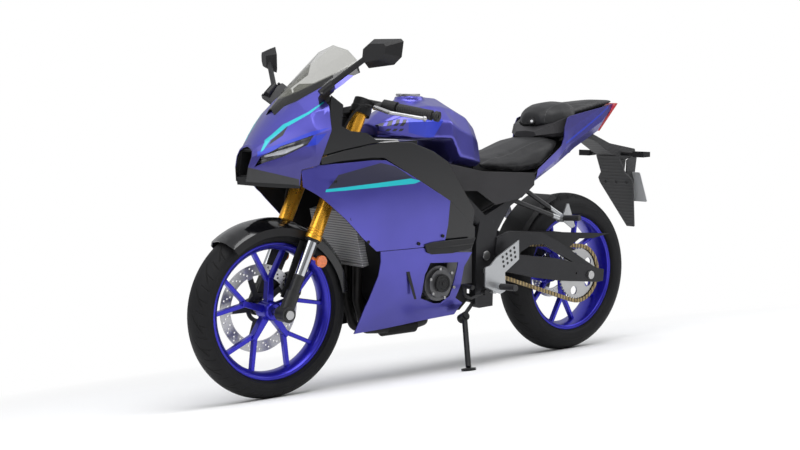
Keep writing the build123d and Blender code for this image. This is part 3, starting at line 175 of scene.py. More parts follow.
class Wiring:
    names = {
        "color": "Base Color", "rough": "Roughness", "metal": "Metallic", "alpha": "Alpha",
        "coat": "Coat Weight", "coatRough": "Coat Roughness", "ior": "IOR", "normal": "Normal",
        "glow": "Emission Color", "glowStrength": "Emission Strength", "sheen": "Sheen Weight",
        "specular": "Specular IOR Level", "anisotropic": "Anisotropic",
    }
    objectPlace = 3  # the coordinate node's output for a piece's own place

    def __init__(self, name, **constants):
        self.material = bpy.data.materials.new(name)
        self.material.use_nodes = True
        self.tree = self.material.node_tree
        self.shader = self.tree.nodes["Principled BSDF"]
        for key, value in constants.items():
            self.set(key, value)

    def node(self, kind, settings=None, values=None, out=0):
        made = self.tree.nodes.new(kind)
        for key, value in (settings or {}).items():
            if key == "stops":
                ramp = made.color_ramp
                while len(ramp.elements) < len(value):
                    ramp.elements.new(0.5)
                for element, (place, color) in zip(ramp.elements, value):
                    element.position = place
                    element.color = (*color, 1) if len(color) == 3 else color
            else:
                setattr(made, key, value)
        for key, value in (values or {}).items():
            self.feed(made.inputs[key], value)
        return Sock(self, made.outputs[out])

    def feed(self, socket, value):
        if isinstance(value, Sock):
            self.tree.links.new(value.socket, socket)
        elif socket.type == "RGBA" and len(value) == 3:
            socket.default_value = (*value, 1)
        else:
            socket.default_value = value

    def set(self, key, value):
        self.feed(self.shader.inputs[self.names[key]], value)

    def place(self):
        # The upright machine's own place, in metres, whatever the piece's pose.
        spot = self.node("ShaderNodeTexCoord", out=self.objectPlace)
        where, turn, _ = parked.decompose()
        return self.node("ShaderNodeMapping", {"vector_type": "TEXTURE"},
                         {"Vector": spot, "Location": where, "Rotation": turn.to_euler()})

    def axes(self, vector):
        return [self.node("ShaderNodeSeparateXYZ", None, {0: vector}, out=i) for i in range(3)]

    def noise(self, vector, scale, detail, rough=0.5):
        return self.node("ShaderNodeTexNoise", None,
                         {"Vector": vector, "Scale": scale, "Detail": detail, "Roughness": rough})

    def cells(self, vector, scale):
        return self.node("ShaderNodeTexVoronoi", None, {"Vector": vector, "Scale": scale})

    def ramp(self, value, *stops):
        return self.node("ShaderNodeValToRGB", {"stops": stops}, {0: value})

    def mix(self, mask, first, second):
        # The mix node's colour sockets are inputs 6 and 7, and output 2.
        return self.node("ShaderNodeMix", {"data_type": "RGBA"},
                         {0: mask, 6: first, 7: second}, out=2)

    def bump(self, height, strength, distance):
        return self.node("ShaderNodeBump", None,
                         {"Strength": strength, "Distance": distance, "Height": height})

    def band(self, x, z, corners, soft=0.0006):
        # 1 inside a convex outline of (x, z) corners in millimetres.
        inside = None
        pairs = list(zip(corners, corners[1:] + corners[:1]))
        if sum(a[0] * b[1] - a[1] * b[0] for a, b in pairs) < 0:
            corners = corners[::-1]
        for start, end in zip(corners, corners[1:] + corners[:1]):
            dx, dz = end[0] - start[0], end[1] - start[1]
            length = math.hypot(dx, dz)
            nx, nz = -dz / length, dx / length
            offset = (start[0] * nx + start[1] * nz) * mm
            reach = (x * nx + z * nz - offset).above(0.0, soft)
            inside = reach if inside is None else inside * reach
        return inside

    def reach(self, x, z, centre):
        # Distance from a crosswise axis through (x, z), in metres.
        dx, dz = x - centre[0] * mm, z - centre[-1] * mm
        return (dx * dx + dz * dz).math("SQRT")

    def disc(self, x, z, centre, radius):
        return self.reach(x, z, centre).below(radius * mm, 0.0005)


def started(name, **constants):
    # A new material, the upright place that its patterns read, and that place's three axes.
    w = Wiring(name, **constants)
    spot = w.place()
    return w, spot, w.axes(spot)


def grained(name, color, rough, metal=0.0, grain=300, depth=0.15, spread=0.12, wear=0.0, **more):
    more.setdefault("specular", 0.3 if max(color) < 0.06 else 0.5)
    w = Wiring(name, metal=metal, **more)
    spot = w.place()
    large = w.noise(spot, 9, 4)
    fine = w.noise(spot, grain, 2)
    dark = [c * (1 - spread) for c in color]
    light = [min(1, c * (1 + spread)) for c in color]
    base = w.ramp(large, (0.35, dark), (0.65, light))
    if wear:
        scuffs = w.noise(spot, 60, 6, 0.7).above(0.66, 0.05)
        base = w.mix(scuffs * wear, base, [min(1, c * 2.2 + 0.03) for c in color])
    w.set("color", base)
    w.set("rough", large * 0.12 + fine * 0.06 + (rough - 0.09))
    if depth:
        w.set("normal", w.bump(fine, depth, 0.0004))
    return w.material


paint = {
    "blue": (0.08, 0.074, 0.39),
    "deepBlue": (0.022, 0.016, 0.15),
    "lilacHighlight": (0.13, 0.115, 0.46),
    "flakes": 1300,
    "cyan": (0.01, 0.5, 0.56),
    "accent": (0.012, 0.035, 0.5),
    "black": (0.008, 0.008, 0.01),
    "charcoal": (0.02, 0.02, 0.03),
}


def bluePaint(name, color=None, stripesAndShading=None):
    # Metallic paint under clear coat; the last argument gives (mask, colour) pairs from the place:
    # printed stripes, and on the nose and tail also painted shade, a painted shadow and a painted
    # highlight.
    w, spot, (x, y, z) = started(name, coat=0.4, coatRough=0.14)
    flakes = w.cells(spot, paint["flakes"])
    slow = w.noise(spot, 4, 3)
    color = color or paint["blue"]
    dark, light = [[c * share for c in color] for share in (0.86, 1.14)]
    base = w.ramp(slow + flakes * 0.12, (0.3, dark), (0.75, light))
    metal = flakes * 0.08 + 0.8
    rough = flakes * 0.08 + 0.3
    if stripesAndShading:
        for mask, overlayColor in stripesAndShading(w, x, y, z):
            base = w.mix(mask, base, overlayColor)
            metal = metal * (1 - mask * 0.8)
    w.set("color", base)
    w.set("metal", metal)
    w.set("rough", rough)
    w.set("normal", w.bump(flakes, 0.03, 0.0002))
    return w.material


def fairingStripes(w, x, _, z):
    swoosh = w.band(x, z, [(581, 701), (241, 723), (306, 765), (366, 779), (538, 744)])
    line = w.band(x, z, [(590, 690), (586, 699), (251, 724), (207, 714), (237, 706)])
    return [(swoosh * 0.94, paint["charcoal"]), (line, paint["cyan"])]


def noseStripesAndShade(w, x, y, z):
    # A thin black wedge beside the cyan stripe, away from the middle: a painted shadow.
    paintedShadowWedge = w.band(x, z, [(730, 842), (722, 857), (677, 901), (694, 872)])
    paintedShadowWedge = paintedShadowWedge * y.absolute().above(0.045, 0.001)
    chin = w.band(x, z, [(800, 774), (660, 732), (655, 690), (800, 690)])
    foot = w.band(x, z, [(753, 819), (734, 856), (724, 857), (746, 824)])
    middle = w.band(x, z, [(734, 856), (681, 907), (677, 902), (724, 857)])
    tip = w.band(x, z, [(681, 907), (568, 979), (567, 977), (677, 901)])
    rim = w.band(x, z, [(764, 803), (760, 820), (626, 885), (572, 898), (625, 872)])
    tail = w.band(x, z, [(646, 835), (623, 871), (585, 880), (614, 844)])
    # Below about 0.83 m the nose turns deep blue: painted shade on its lower part.
    low = z.below(0.83, 0.03)
    return [(low * 0.8, paint["deepBlue"]), (paintedShadowWedge, paint["black"]), (rim, paint["accent"]),
            (tail, paint["accent"]), (foot.most(middle).most(tip), paint["cyan"]),
            (chin, paint["black"])]


slashes = {
    "step": 20, "width": 12,
    "rows": ((4, 288, 899, 922, 16), (3, 272, 881, 890, 7)),  # count, first x, foot, top, lean
}


def tankPanelMarks(w, x, _, z):
    swept = w.band(x, z, [(199, 922), (199, 877), (140, 858), (107, 864), (60, 915), (110, 932)])
    marks = [(swept * 0.9, paint["accent"])]
    for count, first, foot, top, lean in slashes["rows"]:
        for step in range(count):
            front = first - step * slashes["step"]
            back = front - slashes["width"]
            slash = w.band(x, z, [(front, foot), (back, foot),
                                  (back - lean, top), (front - lean, top)])
            marks.append((slash, paint["black"]))
    return marks


def tailMarksAndHighlight(w, x, _, z):
    upper = w.band(x, z, [(-480, 850), (-900, 985), (-900, 1010), (-560, 990)], 0.004)
    line = w.band(x, z, [(-560, 826), (-900, 966), (-900, 972), (-560, 834)])
    # The lower front of the tail cowl is tinted lilac: a painted highlight.
    lower = z.below(0.80, 0.05) * x.above(-0.60, 0.02)
    return [(lower * 0.35, paint["lilacHighlight"]), (upper * 0.7, paint["deepBlue"]),
            (line, paint["accent"])]


tread = {
    "count": 22,  # of the long grooves, round the tyre
    "crown": 30,  # how far down the grooves reach, mm
    "long": {"turns": 1, "skew": 9.0, "rake": 13.0, "shift": 0.0, "width": 0.06,
             "sides": (0.012, 0.045)},  # metres from the middle, from and to
    "short": {"turns": 2, "skew": -7.0, "rake": 22.0, "shift": 0.31, "width": 0.05,
              "sides": (0.028, 0.052)},
    "rings": ((46, 0.0008), (34, 0.0006)),  # mm below the crown, half width in metres
    "depth": 0.0016,
}


def tyreRubber(name, hub, radius):
    w, spot, (x, y, z) = started(name, specular=0.2)
    reach = w.reach(x, z, hub)
    angle = (z - hub[2] * mm).math("ARCTAN2", x - hub[0] * mm) * (tread["count"] / (2 * math.pi))
    side = y.absolute()

    def groove(turns, skew, rake, shift, width, sides):
        line = (angle * turns + y * skew + side * rake + shift).ripple().below(width, 0.02)
        return line * side.above(sides[0], 0.001) * side.below(sides[1], 0.002)

    crown = reach.above((radius - tread["crown"]) * mm, 0.003)
    grooves = groove(**tread["long"]).most(groove(**tread["short"])) * crown
    first, second = [(reach - (radius - down) * mm).absolute().below(half, 0.0004)
                     for down, half in tread["rings"]]
    rings = first.most(second) * (1 - crown)
    fine = w.noise(spot, 700, 2)
    dust = w.noise(spot, 12, 5, 0.6)
    rubber = w.ramp(dust, (0.3, (0.005, 0.005, 0.006)), (0.75, (0.011, 0.011, 0.012)))
    # The grooves are also coloured darker than the rubber: painted shade in the grooves.
    w.set("color", w.mix(grooves * 0.85, rubber, (0.004, 0.004, 0.004)))
    w.set("rough", dust * 0.15 + grooves * 0.1 + 0.52)
    w.set("normal", w.bump(fine * 0.08 - grooves - rings * 0.4, 0.9, tread["depth"]))
    return w.material


discCarrier = {"front": 104, "rear": 72}  # radius of the dark middle


def discSteel(name, hub, carrier):
    w, _, (x, _, z) = started(name, anisotropic=0.4)
    reach = w.reach(x, z, hub)
    inner = reach.below(carrier * mm, 0.0008)
    rings = w.noise(reach * 900, 4, 2)
    bare = w.ramp(rings, (0.3, (0.36, 0.36, 0.37)), (0.7, (0.56, 0.56, 0.57)))
    w.set("color", w.mix(inner, bare, (0.02, 0.02, 0.022)))
    w.set("metal", 1 - inner * 0.7)
    w.set("rough", rings * 0.1 + 0.26 + inner * 0.15)
    w.set("normal", w.bump(rings, 0.15, 0.0002))
    return w.material


slider = {"footTop": 135}  # the painted foot ends this far up the leg


def sliderChrome(name):
    w, spot, (x, _, z) = started(name)
    hubX, _, hubZ = Vector(bike["frontHub"]) * mm
    tilt = math.radians(bike["rake"])
    along = (z - hubZ) * math.cos(tilt) - (x - hubX) * math.sin(tilt)
    foot = along.below(slider["footTop"] * mm, 0.0006)
    fine = w.noise(spot, 400, 3)
    black = w.ramp(fine, (0.3, (0.012, 0.012, 0.012)), (0.7, (0.022, 0.022, 0.023)))
    w.set("color", w.mix(foot, (0.5, 0.51, 0.53), black))
    w.set("metal", 1 - foot * 0.7)
    w.set("rough", foot * 0.32 + fine * 0.04 + 0.06)
    w.set("normal", w.bump(fine * foot, 0.3, 0.0005))
    return w.material


gripPattern = {"ribs": 160, "slant": 45, "lanes": 190}  # per metre


def gripRubber(name):
    w, spot, (x, y, z) = started(name)
    ribs = (y * gripPattern["ribs"] + x * gripPattern["slant"]).ripple().above(0.22, 0.08)
    lanes = (z * gripPattern["lanes"]).ripple().above(0.1, 0.08)
    fine = w.noise(spot, 900, 2)
    studs = ribs * lanes
    w.set("color", w.ramp(studs, (0.0, (0.008, 0.008, 0.008)), (1.0, (0.026, 0.026, 0.027))))
    w.set("rough", fine * 0.1 + 0.62)
    w.set("normal", w.bump(studs + fine * 0.1, 0.9, 0.0012))
    return w.material


corePattern = {"tubes": 118, "fins": 420}  # per metre


def coreFins(name):
    w, _, (_, y, z) = started(name)
    rows = (z * corePattern["tubes"]).ripple().above(0.3, 0.05)
    fins = (y * corePattern["fins"]).ripple().above(0.25, 0.1)
    # The gaps between the fins are coloured darker than the fins: painted shade in the core's
    # openings.
    core = w.ramp(fins, (0.0, (0.11, 0.11, 0.115)), (1.0, (0.36, 0.36, 0.37)))
    w.set("color", w.mix(rows, core, (0.5, 0.5, 0.51)))
    w.set("metal", rows * 0.2 + 0.6)
    w.set("rough", fins * 0.1 + 0.36)
    w.set("normal", w.bump(rows + fins * 0.4, 0.8, 0.0016))
    return w.material


chainLinks = {"pitch": 15.875}


def chainSteel(name):
    w, spot, (x, _, _) = started(name)
    link = (x / (chainLinks["pitch"] * mm)).ripple()
    plate = link.below(0.36, 0.03)
    roller = link.below(0.16, 0.03)
    oil = w.noise(spot, 90, 4, 0.6)
    gold = w.ramp(oil, (0.3, (0.24, 0.17, 0.08)), (0.7, (0.48, 0.37, 0.19)))
    w.set("color", w.mix(plate, (0.03, 0.026, 0.02), gold))
    w.set("metal", plate * 0.5 + 0.4)
    w.set("rough", oil * 0.2 + 0.26)
    w.set("normal", w.bump(plate + roller, 0.9, 0.0015))
    return w.material


heelPlates = {
    "riderFrom": -0.30, "riderHalf": 0.2005,  # metres: bare metal ahead of this, and no wider
    "passengerTo": -0.47, "passengerHalf": 0.184, "passengerTop": 0.612,
    "rows": 3, "holes": 4, "radius": 5.5,  # the holes, painted near black as shade, in mm from here down
    "first": (-188, 424), "holeStep": (-19, 10), "rowStep": (-3, -17),
}


def heelGuard(name):
    w, spot, (x, y, z) = started(name)
    p = heelPlates
    rider = x.above(p["riderFrom"], 0.001) * y.absolute().below(p["riderHalf"], 0.0005)
    passenger = (x.below(p["passengerTo"], 0.001) * y.absolute().below(p["passengerHalf"], 0.0005)
                 * z.below(p["passengerTop"], 0.001))
    plate = rider.most(passenger)
    paintedHoleShade = None
    for row in range(p["rows"]):
        for hole in range(p["holes"]):
            centre = Vector(p["first"]) + Vector(p["holeStep"]) * hole + Vector(p["rowStep"]) * row
            slot = w.disc(x, z, centre, p["radius"])
            paintedHoleShade = slot if paintedHoleShade is None else paintedHoleShade.most(slot)
    fine = w.noise(spot, 500, 3)
    silver = w.ramp(fine, (0.3, (0.36, 0.37, 0.38)), (0.7, (0.5, 0.51, 0.52)))
    finished = w.mix(plate, (0.02, 0.02, 0.021), silver)
    # The holes are not cut: they are coloured near black as painted shade, and pressed in by the
    # bump.
    w.set("color", w.mix(paintedHoleShade * plate, finished, (0.008, 0.008, 0.008)))
    w.set("metal", plate * (1 - paintedHoleShade) * 0.75 + 0.1)
    w.set("rough", fine * 0.12 + 0.32)
    w.set("normal", w.bump(fine * 0.15 - paintedHoleShade * plate, 0.6, 0.002))
    return w.material


seatSeam = {"stitches": 150, "rider": 96, "passenger": 64}  # per metre; from the middle, mm


def seatVinyl(name, seam):
    w, spot, (x, y, _) = started(name, sheen=0.05, specular=0.35)
    grain = w.cells(spot, 620)
    slow = w.noise(spot, 14, 4)
    stitch = (y.absolute() - seam * mm).absolute().below(0.0014, 0.0006)
    thread = stitch * (x * seatSeam["stitches"]).ripple().below(0.32, 0.06)
    base = w.ramp(slow, (0.3, (0.009, 0.009, 0.01)), (0.7, (0.013, 0.013, 0.014)))
    w.set("color", w.mix(thread, base, (0.05, 0.05, 0.052)))
    w.set("rough", grain * 0.2 + slow * 0.05 + 0.36)
    w.set("normal", w.bump(grain * 0.25 - stitch * 1.2, 0.35, 0.0008))
    return w.material


screenEdge = {"from": 0.672, "fall": 0.54, "height": 0.975}  # the black foot of the screen, metres


def clearScreen():
    w, spot, (x, _, z) = started("clearScreen", rough=0.05, ior=1.45, coat=0.3)
    haze = w.noise(spot, 6, 2)
    foot = z + (x - screenEdge["from"]) * screenEdge["fall"]
    edge = foot.below(screenEdge["height"], 0.002)
    w.set("color", w.mix(edge, (0.2, 0.2, 0.17), (0.01, 0.01, 0.01)))
    w.set("alpha", haze * 0.08 + 0.36 + edge * 0.55)
    return w.material


lensPattern = {"rake": 0.46, "steps": 75, "across": 42, "rise": 16}  # the last three per metre


def lampLens():
    w, _, (x, _, z) = started("lampLens", coat=1.0, coatRough=0.03, rough=0.12)
    tilt = z + x * lensPattern["rake"]
    steps = (tilt * lensPattern["steps"]).ripple().above(0.22, 0.12)
    cross = (x * lensPattern["across"] + z * lensPattern["rise"]).ripple().above(0.3, 0.1)
    facets = steps * 0.6 + cross * 0.4
    dark = w.ramp(facets, (0.2, (0.008, 0.008, 0.01)), (0.9, (0.07, 0.07, 0.08)))
    light = w.band(x, z, [(744, 803), (700, 812), (650, 842), (656, 848), (704, 826), (746, 810)])
    w.set("color", w.mix(light, dark, (0.42, 0.43, 0.46)))
    w.set("metal", steps * 0.35)
    w.set("normal", w.bump(steps + cross, 0.5, 0.001))
    return w.material


flapRibs = {"rake": 0.35, "count": 62}  # the ribs per metre


def plateFlap(name):
    w, spot, (x, _, z) = started(name)
    ribs = ((z + x * flapRibs["rake"]) * flapRibs["count"]).ripple().above(0.33, 0.06)
    fine = w.noise(spot, 800, 2)
    w.set("color", w.ramp(fine, (0.3, (0.02, 0.02, 0.021)), (0.7, (0.034, 0.034, 0.036))))
    w.set("rough", fine * 0.12 + 0.46)
    w.set("normal", w.bump(ribs + fine * 0.1, 0.5, 0.0014))
    return w.material


def lampAndReflectorGlow(name, color, glow):
    w = Wiring(name, coat=1.0, coatRough=0.05, glowStrength=glow)
    spot = w.place()
    cells = w.cells(spot, 160)
    w.set("color", w.ramp(cells, (0.0, [c * 0.6 for c in color]), (0.8, color)))
    w.set("glow", w.ramp(cells, (0.0, color), (0.6, [c * 0.3 for c in color])))
    w.set("rough", cells * 0.1 + 0.12)
    w.set("normal", w.bump(cells, 0.4, 0.001))
    return w.material


finish = {
    "blue": bluePaint("bluePaint"),
    "fairingBlue": bluePaint("fairingPaint", stripesAndShading=fairingStripes),
    "noseBlue": bluePaint("nosePaint", stripesAndShading=noseStripesAndShade),
    "panelBlue": bluePaint("tankPanelPaint", stripesAndShading=tankPanelMarks),
    "tailBlue": bluePaint("tailPaint", stripesAndShading=tailMarksAndHighlight),
    "wheelBlue": bluePaint("wheelPaint", (0.026, 0.022, 0.42)),
    "glossBlack": grained("glossBlack", (0.003, 0.003, 0.004), 0.16,
                          coat=0.5, coatRough=0.03, depth=0.0),
    "blackPlastic": grained("blackPlastic", (0.009, 0.009, 0.01), 0.46, grain=900, depth=0.25),
    "greyPlastic": grained("greyPlastic", (0.024, 0.023, 0.025), 0.44, grain=900, depth=0.2),
    "satinBlack": grained("satinBlack", (0.013, 0.013, 0.014), 0.4, metal=0.1, depth=0.1),
    "frameGrey": grained("frameGrey", (0.02, 0.02, 0.022), 0.36,
                         metal=0.3, grain=500, depth=0.12, wear=0.2),
    "castBlack": grained("castBlack", (0.014, 0.014, 0.015), 0.45,
                         metal=0.3, grain=420, depth=0.35),
    "castGrey": grained("castGrey", (0.11, 0.11, 0.115), 0.42,
                        metal=0.5, grain=420, depth=0.35, wear=0.2),
    "steel": grained("bareSteel", (0.4, 0.4, 0.4), 0.32, metal=1.0, grain=700, depth=0.1),
    "alloy": grained("alloy", (0.5, 0.5, 0.51), 0.34, metal=0.9, grain=500, depth=0.12),
    "slider": sliderChrome("forkSlider"),
    "gold": grained("goldAnodised", (0.95, 0.47, 0.05), 0.27,
                    metal=0.85, depth=0.0, spread=0.04),
    "chain": chainSteel("oiledChain"),
    "grips": gripRubber("gripRubber"),
    "rubber": grained("rubber", (0.012, 0.012, 0.013), 0.66, grain=700, depth=0.3),
    "frontTyre": tyreRubber("frontTyreRubber", bike["frontHub"], bike["frontRadius"]),
    "rearTyre": tyreRubber("rearTyreRubber", bike["rearHub"], bike["rearRadius"]),
    "frontDisc": discSteel("frontDiscSteel", bike["frontHub"], discCarrier["front"]),
    "rearDisc": discSteel("rearDiscSteel", bike["rearHub"], discCarrier["rear"]),
    "radiator": coreFins("radiatorCore"),
    "heelGuard": heelGuard("heelGuard"),
    "riderVinyl": seatVinyl("riderVinyl", seatSeam["rider"]),
    "passengerVinyl": seatVinyl("passengerVinyl", seatSeam["passenger"]),
    "exhaust": grained("exhaustBlack", (0.012, 0.011, 0.011), 0.46,
                       metal=0.5, depth=0.2, spread=0.3),
    # The fork reflectors are no lamps: their amber glow is painted light.
    "amber": lampAndReflectorGlow("amberReflectorPaintedGlow", (0.75, 0.16, 0.02), 0.12),
    "red": lampAndReflectorGlow("redLens", (0.42, 0.008, 0.01), 0.3),
    "flap": plateFlap("plateFlap"),
    "plate": grained("plateGrey", (0.5, 0.51, 0.52), 0.4, metal=0.1, depth=0.05),
    "screen": clearScreen(),
    "lens": lampLens(),
    "mirrorGlass": grained("mirrorGlass", (0.55, 0.57, 0.6), 0.09,
                           metal=1.0, depth=0.0, spread=0.03),
}
print("finishes made:", len(finish))


def attach(mesh, name, body, material, replaces=(), angle=32):
    for choice in material if isinstance(material, (list, tuple)) else [material]:
        mesh.materials.append(finish[choice])
    mesh.shade_smooth()
    mesh.set_sharp_from_angle(angle=math.radians(angle))
    piece = bpy.data.objects.new(name, mesh)
    bpy.context.scene.collection.objects.link(piece)
    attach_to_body(piece, body)
    if replaces:
        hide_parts(*([replaces] if isinstance(replaces, str) else replaces))
    return piece


def bevelled(piece, width, segments=2, angle=32):
    rounding = piece.modifiers.new("edges", "BEVEL")
    rounding.width = width * mm
    rounding.segments = segments
    rounding.limit_method = "ANGLE"
    rounding.angle_limit = math.radians(angle)
    settled = piece.modifiers.new("normals", "WEIGHTED_NORMAL")
    settled.keep_sharp = True


def cadCopy(node, dissolve=1.5):
    bm = bmesh.new()
    bm.from_mesh(nodes[node].data)
    bmesh.ops.remove_doubles(bm, verts=bm.verts, dist=0.00002)
    if dissolve:
        bmesh.ops.dissolve_limit(bm, angle_limit=math.radians(dissolve),
                                 verts=bm.verts, edges=bm.edges)
    bm.transform(mmFromParked)
    return bm


def drawn(bm, name):
    mesh = bpy.data.meshes.new(name)
    bmesh.ops.recalc_face_normals(bm, faces=bm.faces)
    bm.transform(parkedFromMm)
    bm.to_mesh(mesh)
    bm.free()
    return mesh


def innerFaces(bm, toward):
    # Faces of a shell that look inwards take the second finish.
    for face in bm.faces:
        out = toward(face.calc_center_median())
        face.material_index = 1 if face.normal.dot(out) < -0.05 * out.length else 0


def fromSides(point):
    return Vector((0, 1 if point.y > 0 else -1, 0))


def fromSpine(height):
    return lambda point: Vector((0, point.y, point.z - height))


def fromNose(point):
    # The nose opens backwards, so behind its middle only y and z tell the outside.
    middle = Vector((600, 0, 790))
    return Vector((max(0, point.x - middle.x), point.y, point.z - middle.z))


def fromHub(point):
    hub = Vector(bike["frontHub"])
    return Vector((point.x - hub.x, point.y * 0.2, point.z - hub.z))


def refine(node, material, bevel, angle=32, toward=None):
    bm = cadCopy(node)
    if toward:
        innerFaces(bm, toward)
    mesh = bpy.data.meshes.new(node)
    bm.transform(parkedFromMm)
    bm.to_mesh(mesh)
    bm.free()
    piece = attach(mesh, node + "_piece", bodyOf(node), material, replaces=node, angle=angle)
    if bevel:
        bevelled(piece, bevel, angle=angle)


# Each solid: its finish, and how far its edges are rounded in mm.
nodeFinish = {
    "front_disc": ("frontDisc", 0), "rear_disc": ("rearDisc", 0), "rear_sprocket": ("steel", 0.5),
    "fork_tubes": ("gold", 0.8), "fork_sliders": ("slider", 1), "front_axle": ("steel", 0.8),
    "rear_axles": ("steel", 0.8), "fork_clamps": ("castBlack", 2), "handlebars": ("satinBlack", 1),
    "grips": ("grips", 1), "hand_levers": ("alloy", 1.5), "switchgear": ("blackPlastic", 2),
    "front_caliper": ("castBlack", 2), "rear_caliper": ("castBlack", 2),
    "fork_reflectors": ("amber", 1), "brake_hose": ("rubber", 0), "clutch_cable": ("rubber", 0),
    "main_frame": ("frameGrey", 2), "rear_frame": ("satinBlack", 1), "engine": ("castBlack", 3),
    "engine_covers": ("castGrey", 2.5), "radiator": ("radiator", 1),
    "exhaust_pipes": ("exhaust", 0.8), "muffler": ("exhaust", 2), "swingarm": ("frameGrey", 2),
    "chain": ("chain", 0.5), "chain_guard": ("blackPlastic", 0.8),
    "rear_shock": ("satinBlack", 0.8), "nose_duct": ("blackPlastic", 1),
    "windscreen": ("screen", 0.4), "headlamps": ("lens", 0.8),
    "instrument_panel": ("blackPlastic", 1), "mirrors": ("blackPlastic", 3),
    "fuel_cap": ("alloy", 1), "tank_panels": ("panelBlue", 1), "side_covers": ("greyPlastic", 1),
    "tail_tray": ("greyPlastic", 1), "tail_lamp": ("red", 1), "plate_holder": ("flap", 1),
    "number_plate": ("plate", 0.3), "indicators": ("blackPlastic", 2),
    "footrests": ("heelGuard", 1), "foot_levers": ("satinBlack", 0.8),
    "side_stand": ("satinBlack", 0.8),
}
for name, (material, bevel) in nodeFinish.items():
    refine(name, material, bevel)

shellFinish = {
    "side_fairings": (("fairingBlue", "blackPlastic"), fromSides),
    "belly_pans": (("blue", "blackPlastic"), fromSides),
    "fairing_trim": (("glossBlack", "blackPlastic"), fromSides),
    "nose_cowl": (("noseBlue", "blackPlastic"), fromNose),
    "tail_cowl": (("tailBlue", "blackPlastic"), fromSpine(860)),
    "front_mudguard": (("glossBlack", "blackPlastic"), fromHub),
}
for name, (materials, toward) in shellFinish.items():
    refine(name, materials, 1.2, 38, toward)
print("nodes dressed")


def rod(bm, start, end, radius, radius2=None, sides=20):
    start, end = Vector(start), Vector(end)
    turn = (end - start).to_track_quat("Z", "Y").to_matrix().to_4x4()
    bmesh.ops.create_cone(bm, cap_ends=True, segments=sides, depth=(end - start).length,
                          radius1=radius, radius2=radius if radius2 is None else radius2,
                          matrix=Matrix.Translation((start + end) / 2) @ turn)


def ball(bm, centre, radius):
    bmesh.ops.create_uvsphere(bm, u_segments=20, v_segments=12, radius=radius,
                              matrix=Matrix.Translation(Vector(centre)))


def mirrored(points, side):
    return [Vector((x, side * y, z)) for x, y, z in points]


def slab(bm, outline, push):
    face = bm.faces.new([bm.verts.new(point) for point in outline])
    grown = bmesh.ops.extrude_face_region(bm, geom=[face])
    moved = [item for item in grown["geom"] if isinstance(item, bmesh.types.BMVert)]
    bmesh.ops.translate(bm, verts=moved, vec=push)


def turned(bm, profile, centre, axis, steps):
    # (radius, height) points, spun about the axis.
    centre, axis = Vector(centre), Vector(axis).normalized()
    out = axis.orthogonal().normalized()
    verts = [bm.verts.new(centre + out * radius + axis * height) for radius, height in profile]
    edges = [bm.edges.new(pair) for pair in zip(verts, verts[1:])]
    bmesh.ops.spin(bm, geom=verts + edges, cent=centre, axis=axis, angle=2 * math.pi, steps=steps,
                   use_merge=True)
    bmesh.ops.remove_doubles(bm, verts=bm.verts, dist=0.005)


wheels = {
    "front": {"tyre": 110, "rim": 70, "turn": 18},  # widths, and degrees to the first spoke
    "rear": {"tyre": 140, "rim": 102, "turn": 54},
    "flange": 229, "crownShare": 0.66, "steps": 128,
    "hub": [(11, -37), (26, -37), (31, -32), (33, -24), (33, 24), (31, 32), (26, 37), (11, 37),
            (11, -37)],  # radius and y
    "spokes": 5,
    "root": (24, 13, -15), "split": (112, 9, -11),  # a spoke's reach, half width and right side
    "forkFrom": (100, 4, 7.5), "forkTo": (208, 64, 6.5),  # reach, offset and half width
    "spokeDepth": 28, "forkDepth": 20,
}


def tyrePiece(end, node):
    hub, radius = bike[end + "Hub"], bike[end + "Radius"]
    half, bead, flange = wheels[end]["tyre"] / 2, wheels[end]["rim"] / 2, wheels["flange"]
    crown = (radius - flange) * wheels["crownShare"]
    middle = radius - crown
    turns = [math.radians(-90 + step * 7.5) for step in range(25)]
    outer = [(middle + crown * math.cos(a), half * math.sin(a)) for a in turns]
    left = [(flange + 1, bead), (flange + 3, bead + 3),
            (flange + 7, half - 5), (flange + 15, half - 2)]
    loop = [(reach, -y) for reach, y in left] + outer + left[::-1]
    loop += [(flange - 10, bead), (flange - 10, -bead), loop[0]]
    bm = bmesh.new()
    turned(bm, loop, hub, (0, 1, 0), steps=wheels["steps"])
    attach(drawn(bm, node), node + "_piece", bodyOf(node), end + "Tyre", replaces=node, angle=50)


